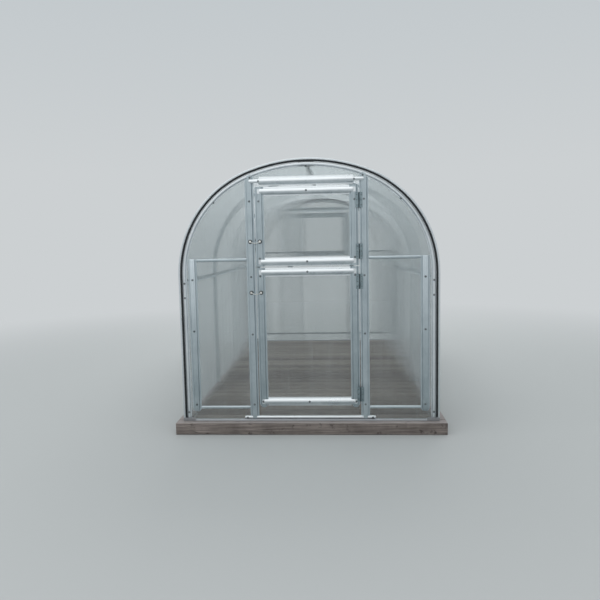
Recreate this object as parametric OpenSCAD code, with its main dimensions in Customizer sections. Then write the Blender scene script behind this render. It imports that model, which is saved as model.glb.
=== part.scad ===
// Arched greenhouse of pressed steel profiles and twin-wall sheet, on a timber base with a boarded floor.
// Front faces -Y, +X is to the right as seen from the front, +Z is up.
// Origin: middle of the base, at ground level.

/* [House] */
// Width over the roof sheets
house_w = 2100; // [1700:10:2600]
// Length from gable to gable
house_l = 4000; // [3000:10:6000]
// Height of the straight side walls above the floor
wall_h = 1200; // [1150:10:1500]
// Height of the arched roof above the side walls
rise = 920; // [860:10:1200]
// Half of the angle that the flatter crown of the arch takes up
crown_angle = 21; // [15:1:30]

/* [Base] */
// Height of the base beams
base_h = 100; // [80:5:200]
// Width of the base beams
beam_w = 100; // [80:5:150]
// How far the base stands out past each side wall
side_margin = 55; // [10:1:60]
// How far the base stands out past each gable
end_margin = 80; // [40:1:85]
// Thickness of the floor
deck_t = 27; // [18:1:40]
// Width of a floor joist
joist_w = 50; // [40:1:80]

/* [Steel profiles] */
// Wall thickness of the pressed profiles
steel_t = 2; // [1.5:0.1:2.5]
// Width of a post, stile or rail over both flanges
hat_w = 72; // [60:1:90]
// Width of the ridge's flat front
hat_top = 40; // [30:1:45]
// How far the ridge stands out
hat_d = 15; // [12:0.5:20]
// Width of an inner arch over both flanges
arch_w = 60; // [50:1:80]
// Width of a gable arch, seen from the front
ring_w = 37; // [32:1:50]
// Width of the rubber seal between a gable arch and the roof
seal_w = 23; // [21:1:30]
// Height of the rail on the floor
base_rail_h = 12; // [8:1:20]
// Width of a purlin
purlin_w = 40; // [34:1:60]
// Depth of a purlin
purlin_d = 12; // [8:0.5:18]
// Height of a side purlin above the floor
purlin_z = 1148; // [900:1:1150]
// Height of the thin rails beside the door
thin_rail_h = 24; // [18:1:30]
// Depth of the thin rails beside the door
thin_rail_d = 10; // [6:0.5:12]
// Height of the thin bottom rails above the floor
low_rail_z = 98; // [60:1:130]
// Height of the thin top rails above the floor
side_rail_z = 1313; // [1250:1:1400]
// Height of the lower end of a side jamb above the floor
jamb_foot_z = 80; // [40:1:96]

/* [Sheet] */
// Thickness of the twin-wall sheet
sheet_t = 6; // [4:0.5:10]
// How far the roof sheets stand out past each gable
overhang = 15; // [8:1:30]
// Joint between two sheets
sheet_joint = 2; // [1:0.5:4]

/* [Door] */
// Width of the doorway between its posts
doorway_w = 837; // [700:1:1010]
// Gap beside each leaf
leaf_gap = 6; // [5:0.5:8]
// Gap between the header and the upper leaf
head_gap = 8; // [5:0.5:15]
// Gap between the lower and the upper leaf
split_gap = 10; // [6:0.5:15]
// Height of the top of the lower leaf above the floor
split_z = 1258; // [1000:1:1510]
// Height of the lower ends of the stiles above the floor
stile_foot_z = 112; // [90:1:130]
// Height of the middle of the bottom rail above the floor
bottom_rail_z = 160; // [150:1:180]
// Height of the threshold
threshold_h = 28; // [20:1:32]
// How far the threshold runs past the posts
threshold_end = 47; // [20:1:60]

/* [Hinges and latches] */
// Height of a hinge
hinge_h = 120; // [80:1:130]
// Width of an open hinge over both plates
hinge_w = 56; // [50:1:64]
// Thickness of a hinge plate
hinge_t = 3; // [2:0.5:4]
// Radius of a hinge knuckle
knuckle_r = 5; // [4:0.5:6]
// Radius of a hinge pin
hinge_pin_r = 2.5; // [2:0.1:3]
// Distance from the end of a leaf to the middle of its outer hinge
hinge_inset = 108; // [90:1:130]
// Distance from the joint between the leaves to the middle of the hinge beside it
split_inset = 120; // [90:1:140]
// Height of the lower latch above the floor
lower_latch_z = 1058; // [900:1:1100]
// Height of the upper latch above the floor
upper_latch_z = 1468; // [1450:1:1600]
// Radius of a latch stud
stud_r = 4; // [3:0.5:5]
// Thickness of a hook
hook_t = 5; // [4:0.5:6]
// How far a hook hangs below its studs
hook_sag = 9; // [4:1:14]

/* [Hidden] */
$fn = 96;

zinc = [0.72, 0.77, 0.78];
bright_zinc = [0.86, 0.90, 0.90];
clear_sheet = [0.80, 0.87, 0.86];
timber = [0.30, 0.25, 0.22];
rubber = [0.06, 0.06, 0.06];
bays = 3;
seat = 0.3;              // clearance where one piece rests on another's curved face
slack = 1;               // clearance where a piece fits beside another
over = 1;                // how far a cutting shape runs past what it cuts
slope = 4;               // run of a ridge's sloping sides
bay_l = house_l / bays;
half_w = house_w / 2;
ring_out = sheet_t + seal_w;          // offsets are measured inward from the roof's outer face
ring_in = ring_out + ring_w;
arch_in = ring_out + steel_t;         // inner face of the inner arches and seat of the purlins
ring_ridge_d = hat_d - steel_t;       // a post's tab laps over a ridge this deep
rail_d = hat_d + steel_t;             // a rail's front plate laps over a stile's ridge
ring_lip = 28;                        // depth of the lip that carries the seal
seal_d = 22;
sheet_bite = 16;                      // how far a gable sheet reaches behind the arch
tab_l = 24;                           // length of the tabs at the ends of a post
tab_w = hat_top - 2 * steel_t;       // a tab is narrower than its ridge
ring_flange = 6;
arch_flange = 14;
arch_ridge_w = arch_w - 2 * arch_flange;
purlin_flange = 6;
purlin_top = purlin_w - 2 * (purlin_flange + slope);

// The arch has a crown arc and two tighter shoulder arcs that meet it smoothly.
half_tan = tan(crown_angle / 2);
shoulder_r = (rise - half_w * half_tan) / (1 - half_tan);
shoulder_x = half_w - shoulder_r;
crown_r = shoulder_r + shoulder_x / sin(crown_angle);
crown_z = wall_h + rise - crown_r;
arc_step = 3;                         // the bends are drawn in steps of about this many degrees
shoulder_steps = round((90 - crown_angle) / arc_step);
crown_steps = 2 * round(crown_angle / arc_step);
crown_sag = purlin_w / 2 * tan(crown_angle / crown_steps);   // fall of the crown over half a purlin

function arch_half(z, off) =
    z <= wall_h ? half_w - off :
    z - crown_z >= (crown_r - off) * cos(crown_angle) ? sqrt(pow(crown_r - off, 2) - pow(z - crown_z, 2)) :
    shoulder_x + sqrt(pow(shoulder_r - off, 2) - pow(z - wall_h, 2));

function arch_top(x, off) =
    x <= (crown_r - off) * sin(crown_angle) ? crown_z + sqrt(pow(crown_r - off, 2) - pow(x, 2)) :
    wall_h + sqrt(pow(shoulder_r - off, 2) - pow(x - shoulder_x, 2));

post_x = doorway_w / 2 + hat_w / 2;
header_z = arch_top(doorway_w / 2, ring_in) - hat_w / 2 - 2 * slack;
upper_top_z = header_z - hat_w / 2 - head_gap;
upper_foot_z = split_z + split_gap;
leaf_half = doorway_w / 2 - leaf_gap;
stile_x = leaf_half - hat_w / 2;
jamb_top_z = side_rail_z + thin_rail_h;
jamb_x = arch_half(jamb_top_z, ring_in) - slack - hat_w / 2;
threshold_top_z = base_rail_h + threshold_h;
rail_reveal = 4;                      // an arch's foot covers its rail and this much of the floor
base_rail_w = ring_in - rail_reveal;
end_rail_front = 20;
end_rail_back = 14;
corner_plate_lap = 40;
corner_plate_w = base_rail_w + corner_plate_lap;
corner_plate_h = 28;
sheet_edge = 4;                       // a leaf's sheet stops this far inside its frame

hinge_x = doorway_w / 2 - leaf_gap / 2;
hinge_y = -hat_d - hinge_t;
knuckle_gap = 1;
pin_clear = 0.5;
plate_gap = 0.6;
plate_x = knuckle_r + plate_gap;      // a hinge plate starts this far from the pin
knuckle_half = hinge_h / 6;           // half the length of the middle knuckle
stud_l = 15;
pivot_r = 3;
pivot_head_r = 6;
pivot_head_t = 3;
hook_off = 6;                         // a hook runs this far in front of the ridges
hook_ring_r = 7;
hook_arm_h = 6;
notch_r = stud_r + slack;
hook_rim = 4;
hook_end_r = notch_r + hook_rim;

module on_deck() { translate([0, 0, base_h]) children(); }
module at_front() { translate([0, -house_l / 2, base_h]) children(); }
module at_rear() { mirror([0, 1, 0]) at_front() children(); }
module both_sides() {
    children();
    mirror([1, 0, 0]) children();
}

// Turns a shape drawn in XY with its thickness along Z so that it stands in XZ with its thickness along Y.
module upright() { mirror([0, 1, 0]) rotate([90, 0, 0]) children(); }

// Corners of one arch at an offset inward from the roof's outer face,
// from the right foot over to the left foot.
function arch_line(off, foot_z) = concat(
    [[half_w - off, foot_z]],
    [for (i = [0 : shoulder_steps]) shoulder_point(off, i)],
    [for (i = [1 : crown_steps - 1])
        let (turn = 90 - crown_angle + i * 2 * crown_angle / crown_steps)
            [(crown_r - off) * cos(turn), crown_z + (crown_r - off) * sin(turn)]],
    [for (i = [shoulder_steps : -1 : 0])
        let (corner = shoulder_point(off, i)) [-corner[0], corner[1]]],
    [[off - half_w, foot_z]]
);

function shoulder_point(off, i) =
    let (turn = i * (90 - crown_angle) / shoulder_steps)
        [shoulder_x + (shoulder_r - off) * cos(turn), wall_h + (shoulder_r - off) * sin(turn)];

function backward(list) = [for (i = [len(list) - 1 : -1 : 0]) list[i]];

// A band round the arch between two offsets, from y0 to y1.
module arch_band(off0, off1, y0, y1) {
    translate([0, y0, 0]) upright() linear_extrude(y1 - y0)
        polygon(concat(arch_line(off0, base_rail_h), backward(arch_line(off1, base_rail_h))));
}

// Everything inside the arch at an offset, from y0 to y1.
module inside_arch(off, y0, y1) {
    translate([0, y0, 0]) upright() linear_extrude(y1 - y0) polygon(arch_line(off, 0));
}

// Section of a pressed profile: flanges with their backs on y = 0 and a ridge that stands out to -y.
module hat_section(w, top, depth) {
    foot = top / 2 + slope;
    polygon([
        [-w / 2, 0], [-w / 2, -steel_t], [-foot, -steel_t], [-top / 2, -depth],
        [top / 2, -depth], [foot, -steel_t], [w / 2, -steel_t], [w / 2, 0],
        [foot - steel_t, 0], [top / 2 - steel_t, steel_t - depth],
        [steel_t - top / 2, steel_t - depth], [steel_t - foot, 0]
    ]);
}

module upright_hat(x, z0, z1) {
    translate([x, 0, z0]) linear_extrude(z1 - z0) hat_section(hat_w, hat_top, hat_d);
}

// A rail between two uprights, with its front plate lapping over their ridges.
module lapped_rail(z, reach, lap) {
    translate([-reach, 0, z])
        rotate([0, 90, 0]) linear_extrude(2 * reach) hat_section(hat_w, hat_top, rail_d);
    translate([-reach - lap, -rail_d, z - hat_top / 2])
        cube([2 * (reach + lap), steel_t, hat_top]);
}

module thin_rail(x0, x1, z) {
    translate([x0, -thin_rail_d, z])
        difference() {
            cube([x1 - x0, thin_rail_d, thin_rail_h]);
            translate([-over, steel_t, steel_t])
                cube([x1 - x0 + 2 * over, thin_rail_d, thin_rail_h - 2 * steel_t]);
        }
}

module base_beam_front() {
    color(timber)
        translate([-half_w - side_margin, -house_l / 2 - end_margin, 0])
            cube([house_w + 2 * side_margin, beam_w, base_h]);
}

module base_beam_rear() { mirror([0, 1, 0]) base_beam_front(); }

module base_beams_side() {
    inner_l = house_l + 2 * end_margin - 2 * beam_w;
    color(timber)
        both_sides()
            translate([half_w + side_margin - beam_w, -inner_l / 2, 0])
                cube([beam_w, inner_l, base_h]);
}

module floor_joists() {
    inner_l = house_l + 2 * end_margin - 2 * beam_w;
    inner_w = house_w + 2 * side_margin - 2 * beam_w;
    color(timber)
        for (step = [-1 : 1])
            translate([step * inner_w / 4 - joist_w / 2, -inner_l / 2, 0])
                cube([joist_w, inner_l, base_h - deck_t]);
}

module floor_deck() {
    inner_l = house_l + 2 * end_margin - 2 * beam_w;
    inner_w = house_w + 2 * side_margin - 2 * beam_w;
    color(timber)
        translate([-inner_w / 2, -inner_l / 2, base_h - deck_t])
            cube([inner_w, inner_l, deck_t]);
}

module base_rails_side() {
    rail_l = house_l + 2 * end_rail_front;
    color(zinc) on_deck()
        both_sides()
            translate([half_w - base_rail_w, -rail_l / 2, 0])
                difference() {
                    cube([base_rail_w, rail_l, base_rail_h]);
                    translate([steel_t, -over, -over])
                        cube([base_rail_w - 2 * steel_t, rail_l + 2 * over, base_rail_h - steel_t + over]);
                }
}

module end_rail() {
    rail_half = half_w - base_rail_w - slack / 2;
    rail_w = end_rail_front + end_rail_back;
    translate([-rail_half, -end_rail_front, 0])
        difference() {
            cube([2 * rail_half, rail_w, base_rail_h]);
            translate([-over, steel_t, -over])
                cube([2 * (rail_half + over), rail_w - 2 * steel_t, base_rail_h - steel_t + over]);
        }
    both_sides()
        translate([half_w - corner_plate_w, -end_rail_front - steel_t, 0])
            cube([corner_plate_w, steel_t, corner_plate_h]);
}

module base_rails_end() {
    color(zinc) {
        at_front() end_rail();
        at_rear() end_rail();
    }
}

module threshold() {
    reach = post_x + hat_w / 2 + threshold_end;
    color(bright_zinc) at_front()
        translate([-reach, -ring_ridge_d, base_rail_h])
            difference() {
                cube([2 * reach, ring_ridge_d, threshold_h]);
                translate([-over, steel_t, steel_t])
                    cube([2 * (reach + over), ring_ridge_d, threshold_h - 2 * steel_t]);
            }
}

// A gable arch is a hat profile seen face on, with a lip along its outer edge that carries the seal.
module gable_arch() {
    foot = ring_flange + steel_t;
    arch_band(ring_out, ring_in, -steel_t, 0);
    difference() {
        arch_band(ring_out + ring_flange, ring_in - ring_flange, -ring_ridge_d, 0);
        arch_band(ring_out + foot, ring_in - foot, steel_t - ring_ridge_d, over);
    }
    arch_band(ring_out, ring_out + steel_t, -steel_t, ring_lip);
}

module inner_arch(y) {
    flange_out = sheet_t + seat;
    ridge_half = arch_ridge_w / 2;
    hollow_half = ridge_half - steel_t;
    color(zinc) on_deck() {
        arch_band(flange_out, flange_out + steel_t, y - arch_w / 2, y + arch_w / 2);
        difference() {
            arch_band(flange_out, arch_in, y - ridge_half, y + ridge_half);
            arch_band(flange_out - over, arch_in - steel_t, y - hollow_half, y + hollow_half);
        }
    }
}

module arch_front() { color(bright_zinc) at_front() gable_arch(); }
module arch_second() { inner_arch(-bay_l / 2); }
module arch_third() { inner_arch(bay_l / 2); }
module arch_rear() { color(bright_zinc) at_rear() gable_arch(); }

module purlin_bar() {
    purlin_l = house_l - 2 * sheet_t - 2 * slack;
    translate([0, purlin_l / 2, 0])
        rotate([90, 0, 0]) linear_extrude(purlin_l) hat_section(purlin_w, purlin_top, purlin_d);
}

module purlins() {
    color(zinc) on_deck() {
        both_sides()
            translate([half_w - arch_in - seat, 0, purlin_z]) rotate([0, 90, 0]) purlin_bar();
        translate([0, 0, wall_h + rise - arch_in - seat - crown_sag]) purlin_bar();
    }
}

module gable_posts(foot_z) {
    both_sides() {
        intersection() {
            upright_hat(post_x, foot_z, wall_h + rise);
            inside_arch(ring_in + slack, -rail_d, over);
        }
        intersection() {
            translate([post_x - tab_w / 2, -hat_d, foot_z])
                cube([tab_w, steel_t, wall_h + rise - foot_z]);
            inside_arch(ring_in - tab_l, -rail_d, over);
        }
    }
}

module front_posts() {
    color(zinc) at_front() {
        gable_posts(threshold_top_z);
        both_sides()
            translate([post_x - tab_w / 2, -hat_d, threshold_top_z - tab_l])
                cube([tab_w, steel_t, 2 * tab_l]);
    }
}

module rear_posts() { color(zinc) at_rear() gable_posts(base_rail_h); }

module front_header() {
    color(bright_zinc) at_front() lapped_rail(header_z, doorway_w / 2, hat_w / 2);
}

module gable_jambs() {
    both_sides() upright_hat(jamb_x, jamb_foot_z, jamb_top_z);
}

module front_jambs() { color(zinc) at_front() gable_jambs(); }
module rear_jambs() { color(zinc) at_rear() gable_jambs(); }

module gable_side_rails() {
    both_sides()
        for (z = [low_rail_z, side_rail_z])
            thin_rail(post_x + hat_w / 2, jamb_x - hat_w / 2, z);
}

module front_side_rails() { color(zinc) at_front() gable_side_rails(); }
module rear_side_rails() { color(zinc) at_rear() gable_side_rails(); }

module gable_sheets() {
    edge = post_x - sheet_joint / 2;
    intersection() {
        inside_arch(ring_in - sheet_bite, 0, sheet_t);
        union() {
            both_sides()
                translate([post_x + sheet_joint / 2, -over, base_rail_h])
                    cube([half_w, sheet_t + 2 * over, wall_h + rise]);
            translate([-edge, -over, header_z])
                cube([2 * edge, sheet_t + 2 * over, rise]);
        }
    }
}

module front_sheets() { color(clear_sheet) at_front() gable_sheets(); }

module rear_sheets() {
    edge = post_x - sheet_joint / 2;
    color(clear_sheet) at_rear() {
        gable_sheets();
        translate([-edge, 0, base_rail_h])
            cube([2 * edge, sheet_t, split_z - base_rail_h - sheet_edge]);
    }
}

module rear_cross_rails() {
    color(zinc) at_rear() {
        lapped_rail(header_z, doorway_w / 2, hat_w / 2);
        lapped_rail(split_z - hat_w / 2, doorway_w / 2, hat_w / 2);
        thin_rail(-doorway_w / 2, doorway_w / 2, low_rail_z);
    }
}

module leaf_stiles(z0, z1) { both_sides() upright_hat(stile_x, z0, z1); }

module leaf_rails(zs) {
    for (z = zs) lapped_rail(z, stile_x - hat_w / 2, hat_w / 2);
}

module leaf_sheet(z0, z1) {
    translate([sheet_edge - leaf_half, 0, z0])
        cube([2 * (leaf_half - sheet_edge), sheet_t, z1 - z0]);
}

module rear_vent_stiles() { color(zinc) at_rear() leaf_stiles(upper_foot_z, upper_top_z); }

module rear_vent_rails() {
    color(bright_zinc) at_rear() leaf_rails([upper_foot_z + hat_w / 2, upper_top_z - hat_w / 2]);
}

module rear_vent_sheet() {
    color(clear_sheet) at_rear() leaf_sheet(upper_foot_z + sheet_edge, upper_top_z - sheet_edge);
}

upper_hinges = [upper_foot_z + split_inset - split_gap, upper_top_z - split_inset];
lower_hinges = [stile_foot_z + hinge_inset, split_z - split_inset];

// Barrel of a hinge from z0 to z1 and the strip that ties it to its plate on the +x side.
module knuckle(z0, z1) {
    translate([0, 0, z0]) cylinder(r = knuckle_r, h = z1 - z0);
    translate([0, 0, z0]) cube([plate_x + over, hinge_t, z1 - z0]);
}

module hinge_plate() {
    translate([plate_x, 0, -hinge_h / 2])
        cube([hinge_w / 2 - plate_x, hinge_t, hinge_h]);
}

module post_hinge(z) {
    translate([hinge_x, hinge_y, z]) {
        hinge_plate();
        knuckle(-hinge_h / 2, -knuckle_half - knuckle_gap);
        knuckle(knuckle_half + knuckle_gap, hinge_h / 2);
        translate([0, 0, -hinge_h / 2]) cylinder(r = hinge_pin_r, h = hinge_h);
    }
}

module leaf_hinge(z) {
    translate([hinge_x, hinge_y, z])
        mirror([1, 0, 0]) {
            hinge_plate();
            difference() {
                knuckle(-knuckle_half, knuckle_half);
                translate([0, 0, -hinge_h / 2]) cylinder(r = hinge_pin_r + pin_clear, h = hinge_h);
            }
        }
}

module post_hinges() {
    color(zinc) at_front()
        for (z = concat(lower_hinges, upper_hinges)) post_hinge(z);
}

module lower_leaf_hinges() {
    color(zinc) at_front()
        for (z = lower_hinges) leaf_hinge(z);
}

module upper_leaf_hinges() {
    color(zinc) at_front()
        for (z = upper_hinges) leaf_hinge(z);
}

module rear_vent_hinges() {
    color(zinc) at_rear()
        for (z = upper_hinges)
            translate([hinge_x, hinge_y, z]) {
                translate([-hinge_w / 2, 0, -hinge_h / 2]) cube([hinge_w, hinge_t, hinge_h]);
                translate([0, 0, -hinge_h / 2]) cylinder(r = knuckle_r, h = hinge_h);
            }
}

// Stud that a hook turns on, with a round head that keeps the hook on.
module latch_pivot(z) {
    reach = hook_off + hook_t + slack;
    translate([-stile_x, -hat_d, z]) rotate([90, 0, 0]) {
        cylinder(r = pivot_r, h = reach + pivot_head_t);
        translate([0, 0, reach]) cylinder(r = pivot_head_r, h = pivot_head_t);
    }
}

module latch_studs() {
    color(bright_zinc) at_front()
        for (z = [lower_latch_z, upper_latch_z])
            translate([-post_x, -hat_d, z]) rotate([90, 0, 0]) cylinder(r = stud_r, h = stud_l);
}

module hook_outline() {
    span = post_x - stile_x;
    notch_z = stud_r + seat - notch_r;
    difference() {
        union() {
            circle(r = hook_ring_r);
            polygon([
                [0, hook_arm_h / 2], [-span / 3, hook_arm_h / 2 - hook_sag],
                [-2 * span / 3, hook_arm_h / 2 - hook_sag], [-span, hook_arm_h],
                [-span, 0], [-2 * span / 3, -hook_arm_h / 2 - hook_sag],
                [-span / 3, -hook_arm_h / 2 - hook_sag], [0, -hook_arm_h / 2]
            ]);
            translate([-span, notch_z]) circle(r = hook_end_r);
        }
        circle(r = pivot_r + pin_clear);
        translate([-span, notch_z]) circle(r = notch_r);
        translate([-span - notch_r, notch_z - 2 * hook_end_r]) square([2 * notch_r, 2 * hook_end_r]);
        translate([-span - hook_end_r - over, notch_z - 2 * hook_end_r - stud_r])
            square([hook_end_r + over, 2 * hook_end_r]);
    }
}

module hook(z) {
    color(bright_zinc) at_front()
        translate([-stile_x, -hat_d - hook_off, z])
            rotate([90, 0, 0]) linear_extrude(hook_t) hook_outline();
}

module lower_hook() { hook(lower_latch_z); }
module upper_hook() { hook(upper_latch_z); }

module lower_leaf_stiles() {
    color(zinc) at_front() {
        leaf_stiles(stile_foot_z, split_z);
        latch_pivot(lower_latch_z);
    }
}

module lower_leaf_rails() {
    color(bright_zinc) at_front() leaf_rails([bottom_rail_z, split_z - hat_w / 2]);
}

module lower_leaf_sheet() {
    color(clear_sheet) at_front() leaf_sheet(threshold_top_z + leaf_gap, split_z - sheet_edge);
}

module upper_leaf_stiles() {
    color(zinc) at_front() {
        leaf_stiles(upper_foot_z, upper_top_z);
        latch_pivot(upper_latch_z);
    }
}

module upper_leaf_rails() {
    color(bright_zinc) at_front() leaf_rails([upper_foot_z + hat_w / 2, upper_top_z - hat_w / 2]);
}

module upper_leaf_sheet() {
    color(clear_sheet) at_front() leaf_sheet(upper_foot_z + sheet_edge, upper_top_z - sheet_edge);
}

module roof_sheet(y0, y1) {
    color(clear_sheet) on_deck() arch_band(0, sheet_t, y0, y1);
}

module roof_sheet_front() { roof_sheet(-house_l / 2 - overhang, -bay_l / 2 - sheet_joint / 2); }
module roof_sheet_middle() { roof_sheet(-bay_l / 2 + sheet_joint / 2, bay_l / 2 - sheet_joint / 2); }
module roof_sheet_rear() { roof_sheet(bay_l / 2 + sheet_joint / 2, house_l / 2 + overhang); }

module gable_seal() {
    arch_band(sheet_t + seat, ring_out - seat, -ring_ridge_d, seal_d - ring_ridge_d);
}

module seals() {
    color(rubber) {
        at_front() gable_seal();
        at_rear() gable_seal();
    }
}

base_beam_front();
base_beam_rear();
base_beams_side();
floor_joists();
floor_deck();
base_rails_side();
base_rails_end();
threshold();
arch_front();
arch_second();
arch_third();
arch_rear();
purlins();
front_posts();
front_header();
front_jambs();
front_side_rails();
front_sheets();
rear_posts();
rear_cross_rails();
rear_jambs();
rear_side_rails();
rear_sheets();
rear_vent_stiles();
rear_vent_rails();
rear_vent_sheet();
rear_vent_hinges();
roof_sheet_front();
roof_sheet_middle();
roof_sheet_rear();
seals();
lower_leaf_stiles();
lower_leaf_rails();
lower_leaf_sheet();
lower_leaf_hinges();
upper_leaf_stiles();
upper_leaf_rails();
upper_leaf_sheet();
upper_leaf_hinges();
post_hinges();
latch_studs();
lower_hook();
upper_hook();
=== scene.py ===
# Arched greenhouse: rolled steel, clear twin-wall sheet and weathered timber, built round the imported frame.
import math
import bmesh
import bpy
from mathutils import Matrix, Vector


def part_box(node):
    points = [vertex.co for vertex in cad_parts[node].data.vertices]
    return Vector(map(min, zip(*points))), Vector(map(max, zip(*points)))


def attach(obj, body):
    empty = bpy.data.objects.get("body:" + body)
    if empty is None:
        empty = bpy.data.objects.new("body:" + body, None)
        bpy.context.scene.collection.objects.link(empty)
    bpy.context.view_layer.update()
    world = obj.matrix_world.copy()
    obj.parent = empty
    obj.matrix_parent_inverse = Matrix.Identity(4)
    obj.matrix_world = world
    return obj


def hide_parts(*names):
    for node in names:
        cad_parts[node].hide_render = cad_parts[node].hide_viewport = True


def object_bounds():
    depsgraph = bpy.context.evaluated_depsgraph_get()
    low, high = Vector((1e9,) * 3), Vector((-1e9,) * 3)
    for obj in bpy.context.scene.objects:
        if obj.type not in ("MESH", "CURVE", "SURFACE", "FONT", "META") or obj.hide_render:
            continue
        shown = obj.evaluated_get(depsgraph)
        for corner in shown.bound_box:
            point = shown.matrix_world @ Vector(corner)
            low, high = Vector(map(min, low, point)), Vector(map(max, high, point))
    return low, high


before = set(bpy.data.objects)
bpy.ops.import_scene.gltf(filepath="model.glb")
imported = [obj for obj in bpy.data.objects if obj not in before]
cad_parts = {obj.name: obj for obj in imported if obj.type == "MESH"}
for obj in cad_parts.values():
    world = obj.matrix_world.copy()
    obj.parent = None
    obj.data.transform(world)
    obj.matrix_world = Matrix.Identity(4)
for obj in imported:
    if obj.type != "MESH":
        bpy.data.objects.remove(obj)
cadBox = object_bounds()
bpy.ops.object.select_all(action="DESELECT")

mm = 0.001
tiny = 0.00005
quarter = math.pi / 2

# planes and lines that everything hangs on, read from the frame; facing is 1 at the front and -1 at the rear
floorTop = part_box("floor_deck")[1].z
gablePlane = {1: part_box("front_sheets")[0].y, -1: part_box("rear_sheets")[1].y}
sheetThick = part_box("front_sheets")[1].y - gablePlane[1]
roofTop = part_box("roof_sheet_front")[1]

# the arch: straight legs, two shoulder arcs and a flatter crown arc, all tangent
archForm = dict(crownAngle=math.radians(21), legHeight=1200 * mm, footLift=12 * mm, shoulderSteps=28,
                crownSteps=20)
crownAngle = archForm["crownAngle"]
shoulderAngle = quarter - crownAngle
halfWidth = roofTop.x
springLine = floorTop + archForm["legHeight"]
footLine = floorTop + archForm["footLift"]
legLength = springLine - footLine
halfTan = math.tan(crownAngle / 2)
shoulderRadius = (roofTop.z - springLine - halfWidth * halfTan) / (1 - halfTan)
shoulderX = halfWidth - shoulderRadius
crownRadius = shoulderRadius + shoulderX / math.sin(crownAngle)
crownCentre = roofTop.z - crownRadius
archBends = ((shoulderAngle, shoulderX, springLine, archForm["shoulderSteps"]),
             (2 * crownAngle, 0, crownCentre, archForm["crownSteps"]),
             (shoulderAngle, -shoulderX, springLine, archForm["shoulderSteps"]))


def archHeight(x, inset):
    # height of the arch line that lies inset from the roof's outer face
    if abs(x) <= (crownRadius - inset) * math.sin(crownAngle):
        return crownCentre + math.sqrt((crownRadius - inset) ** 2 - x ** 2)
    return springLine + math.sqrt((shoulderRadius - inset) ** 2 - (abs(x) - shoulderX) ** 2)


def archPoint(travel, inset):
    # point and outward tilt at a share of the way from the right spring line (0) to the left one (1)
    turn = travel * math.pi
    x, z, reach = 0, crownCentre, crownRadius - inset
    if turn <= shoulderAngle or turn >= math.pi - shoulderAngle:
        x, z, reach = math.copysign(shoulderX, quarter - turn), springLine, shoulderRadius - inset
    return x + reach * math.cos(turn), z + reach * math.sin(turn), turn


def choose(piece):
    # leaves edit mode and selects one piece
    if bpy.context.object and bpy.context.object.mode != "OBJECT":
        bpy.ops.object.mode_set(mode="OBJECT")
    bpy.ops.object.select_all(action="DESELECT")
    piece.select_set(True)
    bpy.context.view_layer.objects.active = piece
    return piece


def openMesh(piece):
    # enters edit mode with the whole mesh selected
    choose(piece)
    bpy.ops.object.mode_set(mode="EDIT")
    bpy.ops.mesh.select_all(action="SELECT")
    return piece


def pick(kind, test):
    # in edit mode, selects the points, edges or faces that pass the test
    bpy.ops.mesh.select_mode(type=kind)
    bpy.ops.mesh.select_all(action="DESELECT")
    data = bpy.context.object.data
    mesh = bmesh.from_edit_mesh(data)
    if kind == "VERT":
        found = [v for v in mesh.verts if test(v.co)]
    elif kind == "EDGE":
        found = [e for e in mesh.edges if test(e.verts[0].co, e.verts[1].co)]
    else:
        found = [f for f in mesh.faces if test(f.calc_center_median(), f.normal)]
    for part in found:
        part.select_set(True)
    mesh.select_flush_mode()
    bmesh.update_edit_mesh(data)


def bevel(offset, segments):
    bpy.ops.mesh.bevel(offset=offset, segments=segments, affect="EDGES")


def cut(co, no, clear=False):
    # cuts along a plane, and clears what lies past it if asked
    bpy.ops.mesh.select_all(action="SELECT")
    bpy.ops.mesh.bisect(plane_co=co, plane_no=no, clear_outer=clear)


def move(x=0, y=0, z=0):
    bpy.ops.transform.translate(value=(x, y, z))


def squeeze(factors, centre):
    bpy.ops.transform.resize(value=factors, center_override=centre)


def modify(piece, kind, **settings):
    choose(piece)
    tool = piece.modifiers.new(kind.title(), kind)
    for name, value in settings.items():
        setattr(tool, name, value)
    bpy.ops.object.modifier_apply(modifier=tool.name)


def repeat(piece, count, step):
    modify(piece, "ARRAY", count=count, use_relative_offset=False, use_constant_offset=True,
           constant_offset_displace=step)


def settle(piece, location=(0, 0, 0), turn=(0, 0, 0), scale=(1, 1, 1)):
    # puts a place, a turn and a scale into the piece's mesh
    choose(piece)
    piece.location = location
    piece.rotation_euler = turn
    piece.scale = scale
    bpy.ops.object.transform_apply(location=True, rotation=True, scale=True)
    return piece


def onGable(parts, facing):
    # sets pieces that were made facing -Y around y = 0 on the front or the rear gable
    return [settle(part, (0, gablePlane[facing], 0), (0, 0, 0 if facing > 0 else math.pi)) for part in parts]


def copyOf(master, location=(0, 0, 0), turn=(0, 0, 0), scale=(1, 1, 1)):
    choose(master)
    bpy.ops.object.duplicate()
    return settle(bpy.context.object, location, turn, scale)


def bothSides(master, facing):
    # a right-hand piece and its mirror image, placed on a gable
    other = openMesh(copyOf(master, scale=(-1, 1, 1)))
    bpy.ops.mesh.normals_make_consistent(inside=False)
    return onGable([master, other], facing)


def drop(*masters):
    for master in masters:
        choose(master)
        bpy.ops.object.delete()


def smooth(piece, angle=32):
    choose(piece)
    bpy.ops.object.shade_smooth_by_angle(angle=math.radians(angle))
    return piece


def join(parts):
    choose(parts[0])
    for part in parts[1:]:
        part.select_set(True)
    if len(parts) > 1:
        bpy.ops.object.join()
    return bpy.context.object


def gather(name, parts, body, slot, material, *nodes):
    # joins parts into one named piece that rides on a body and stands for its CAD nodes
    piece = join(parts)
    piece.name = name
    piece.data.name = name
    piece.data.materials.clear()
    piece.data.materials.append(material)
    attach(piece, body)
    if nodes:
        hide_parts(*nodes)


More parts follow.
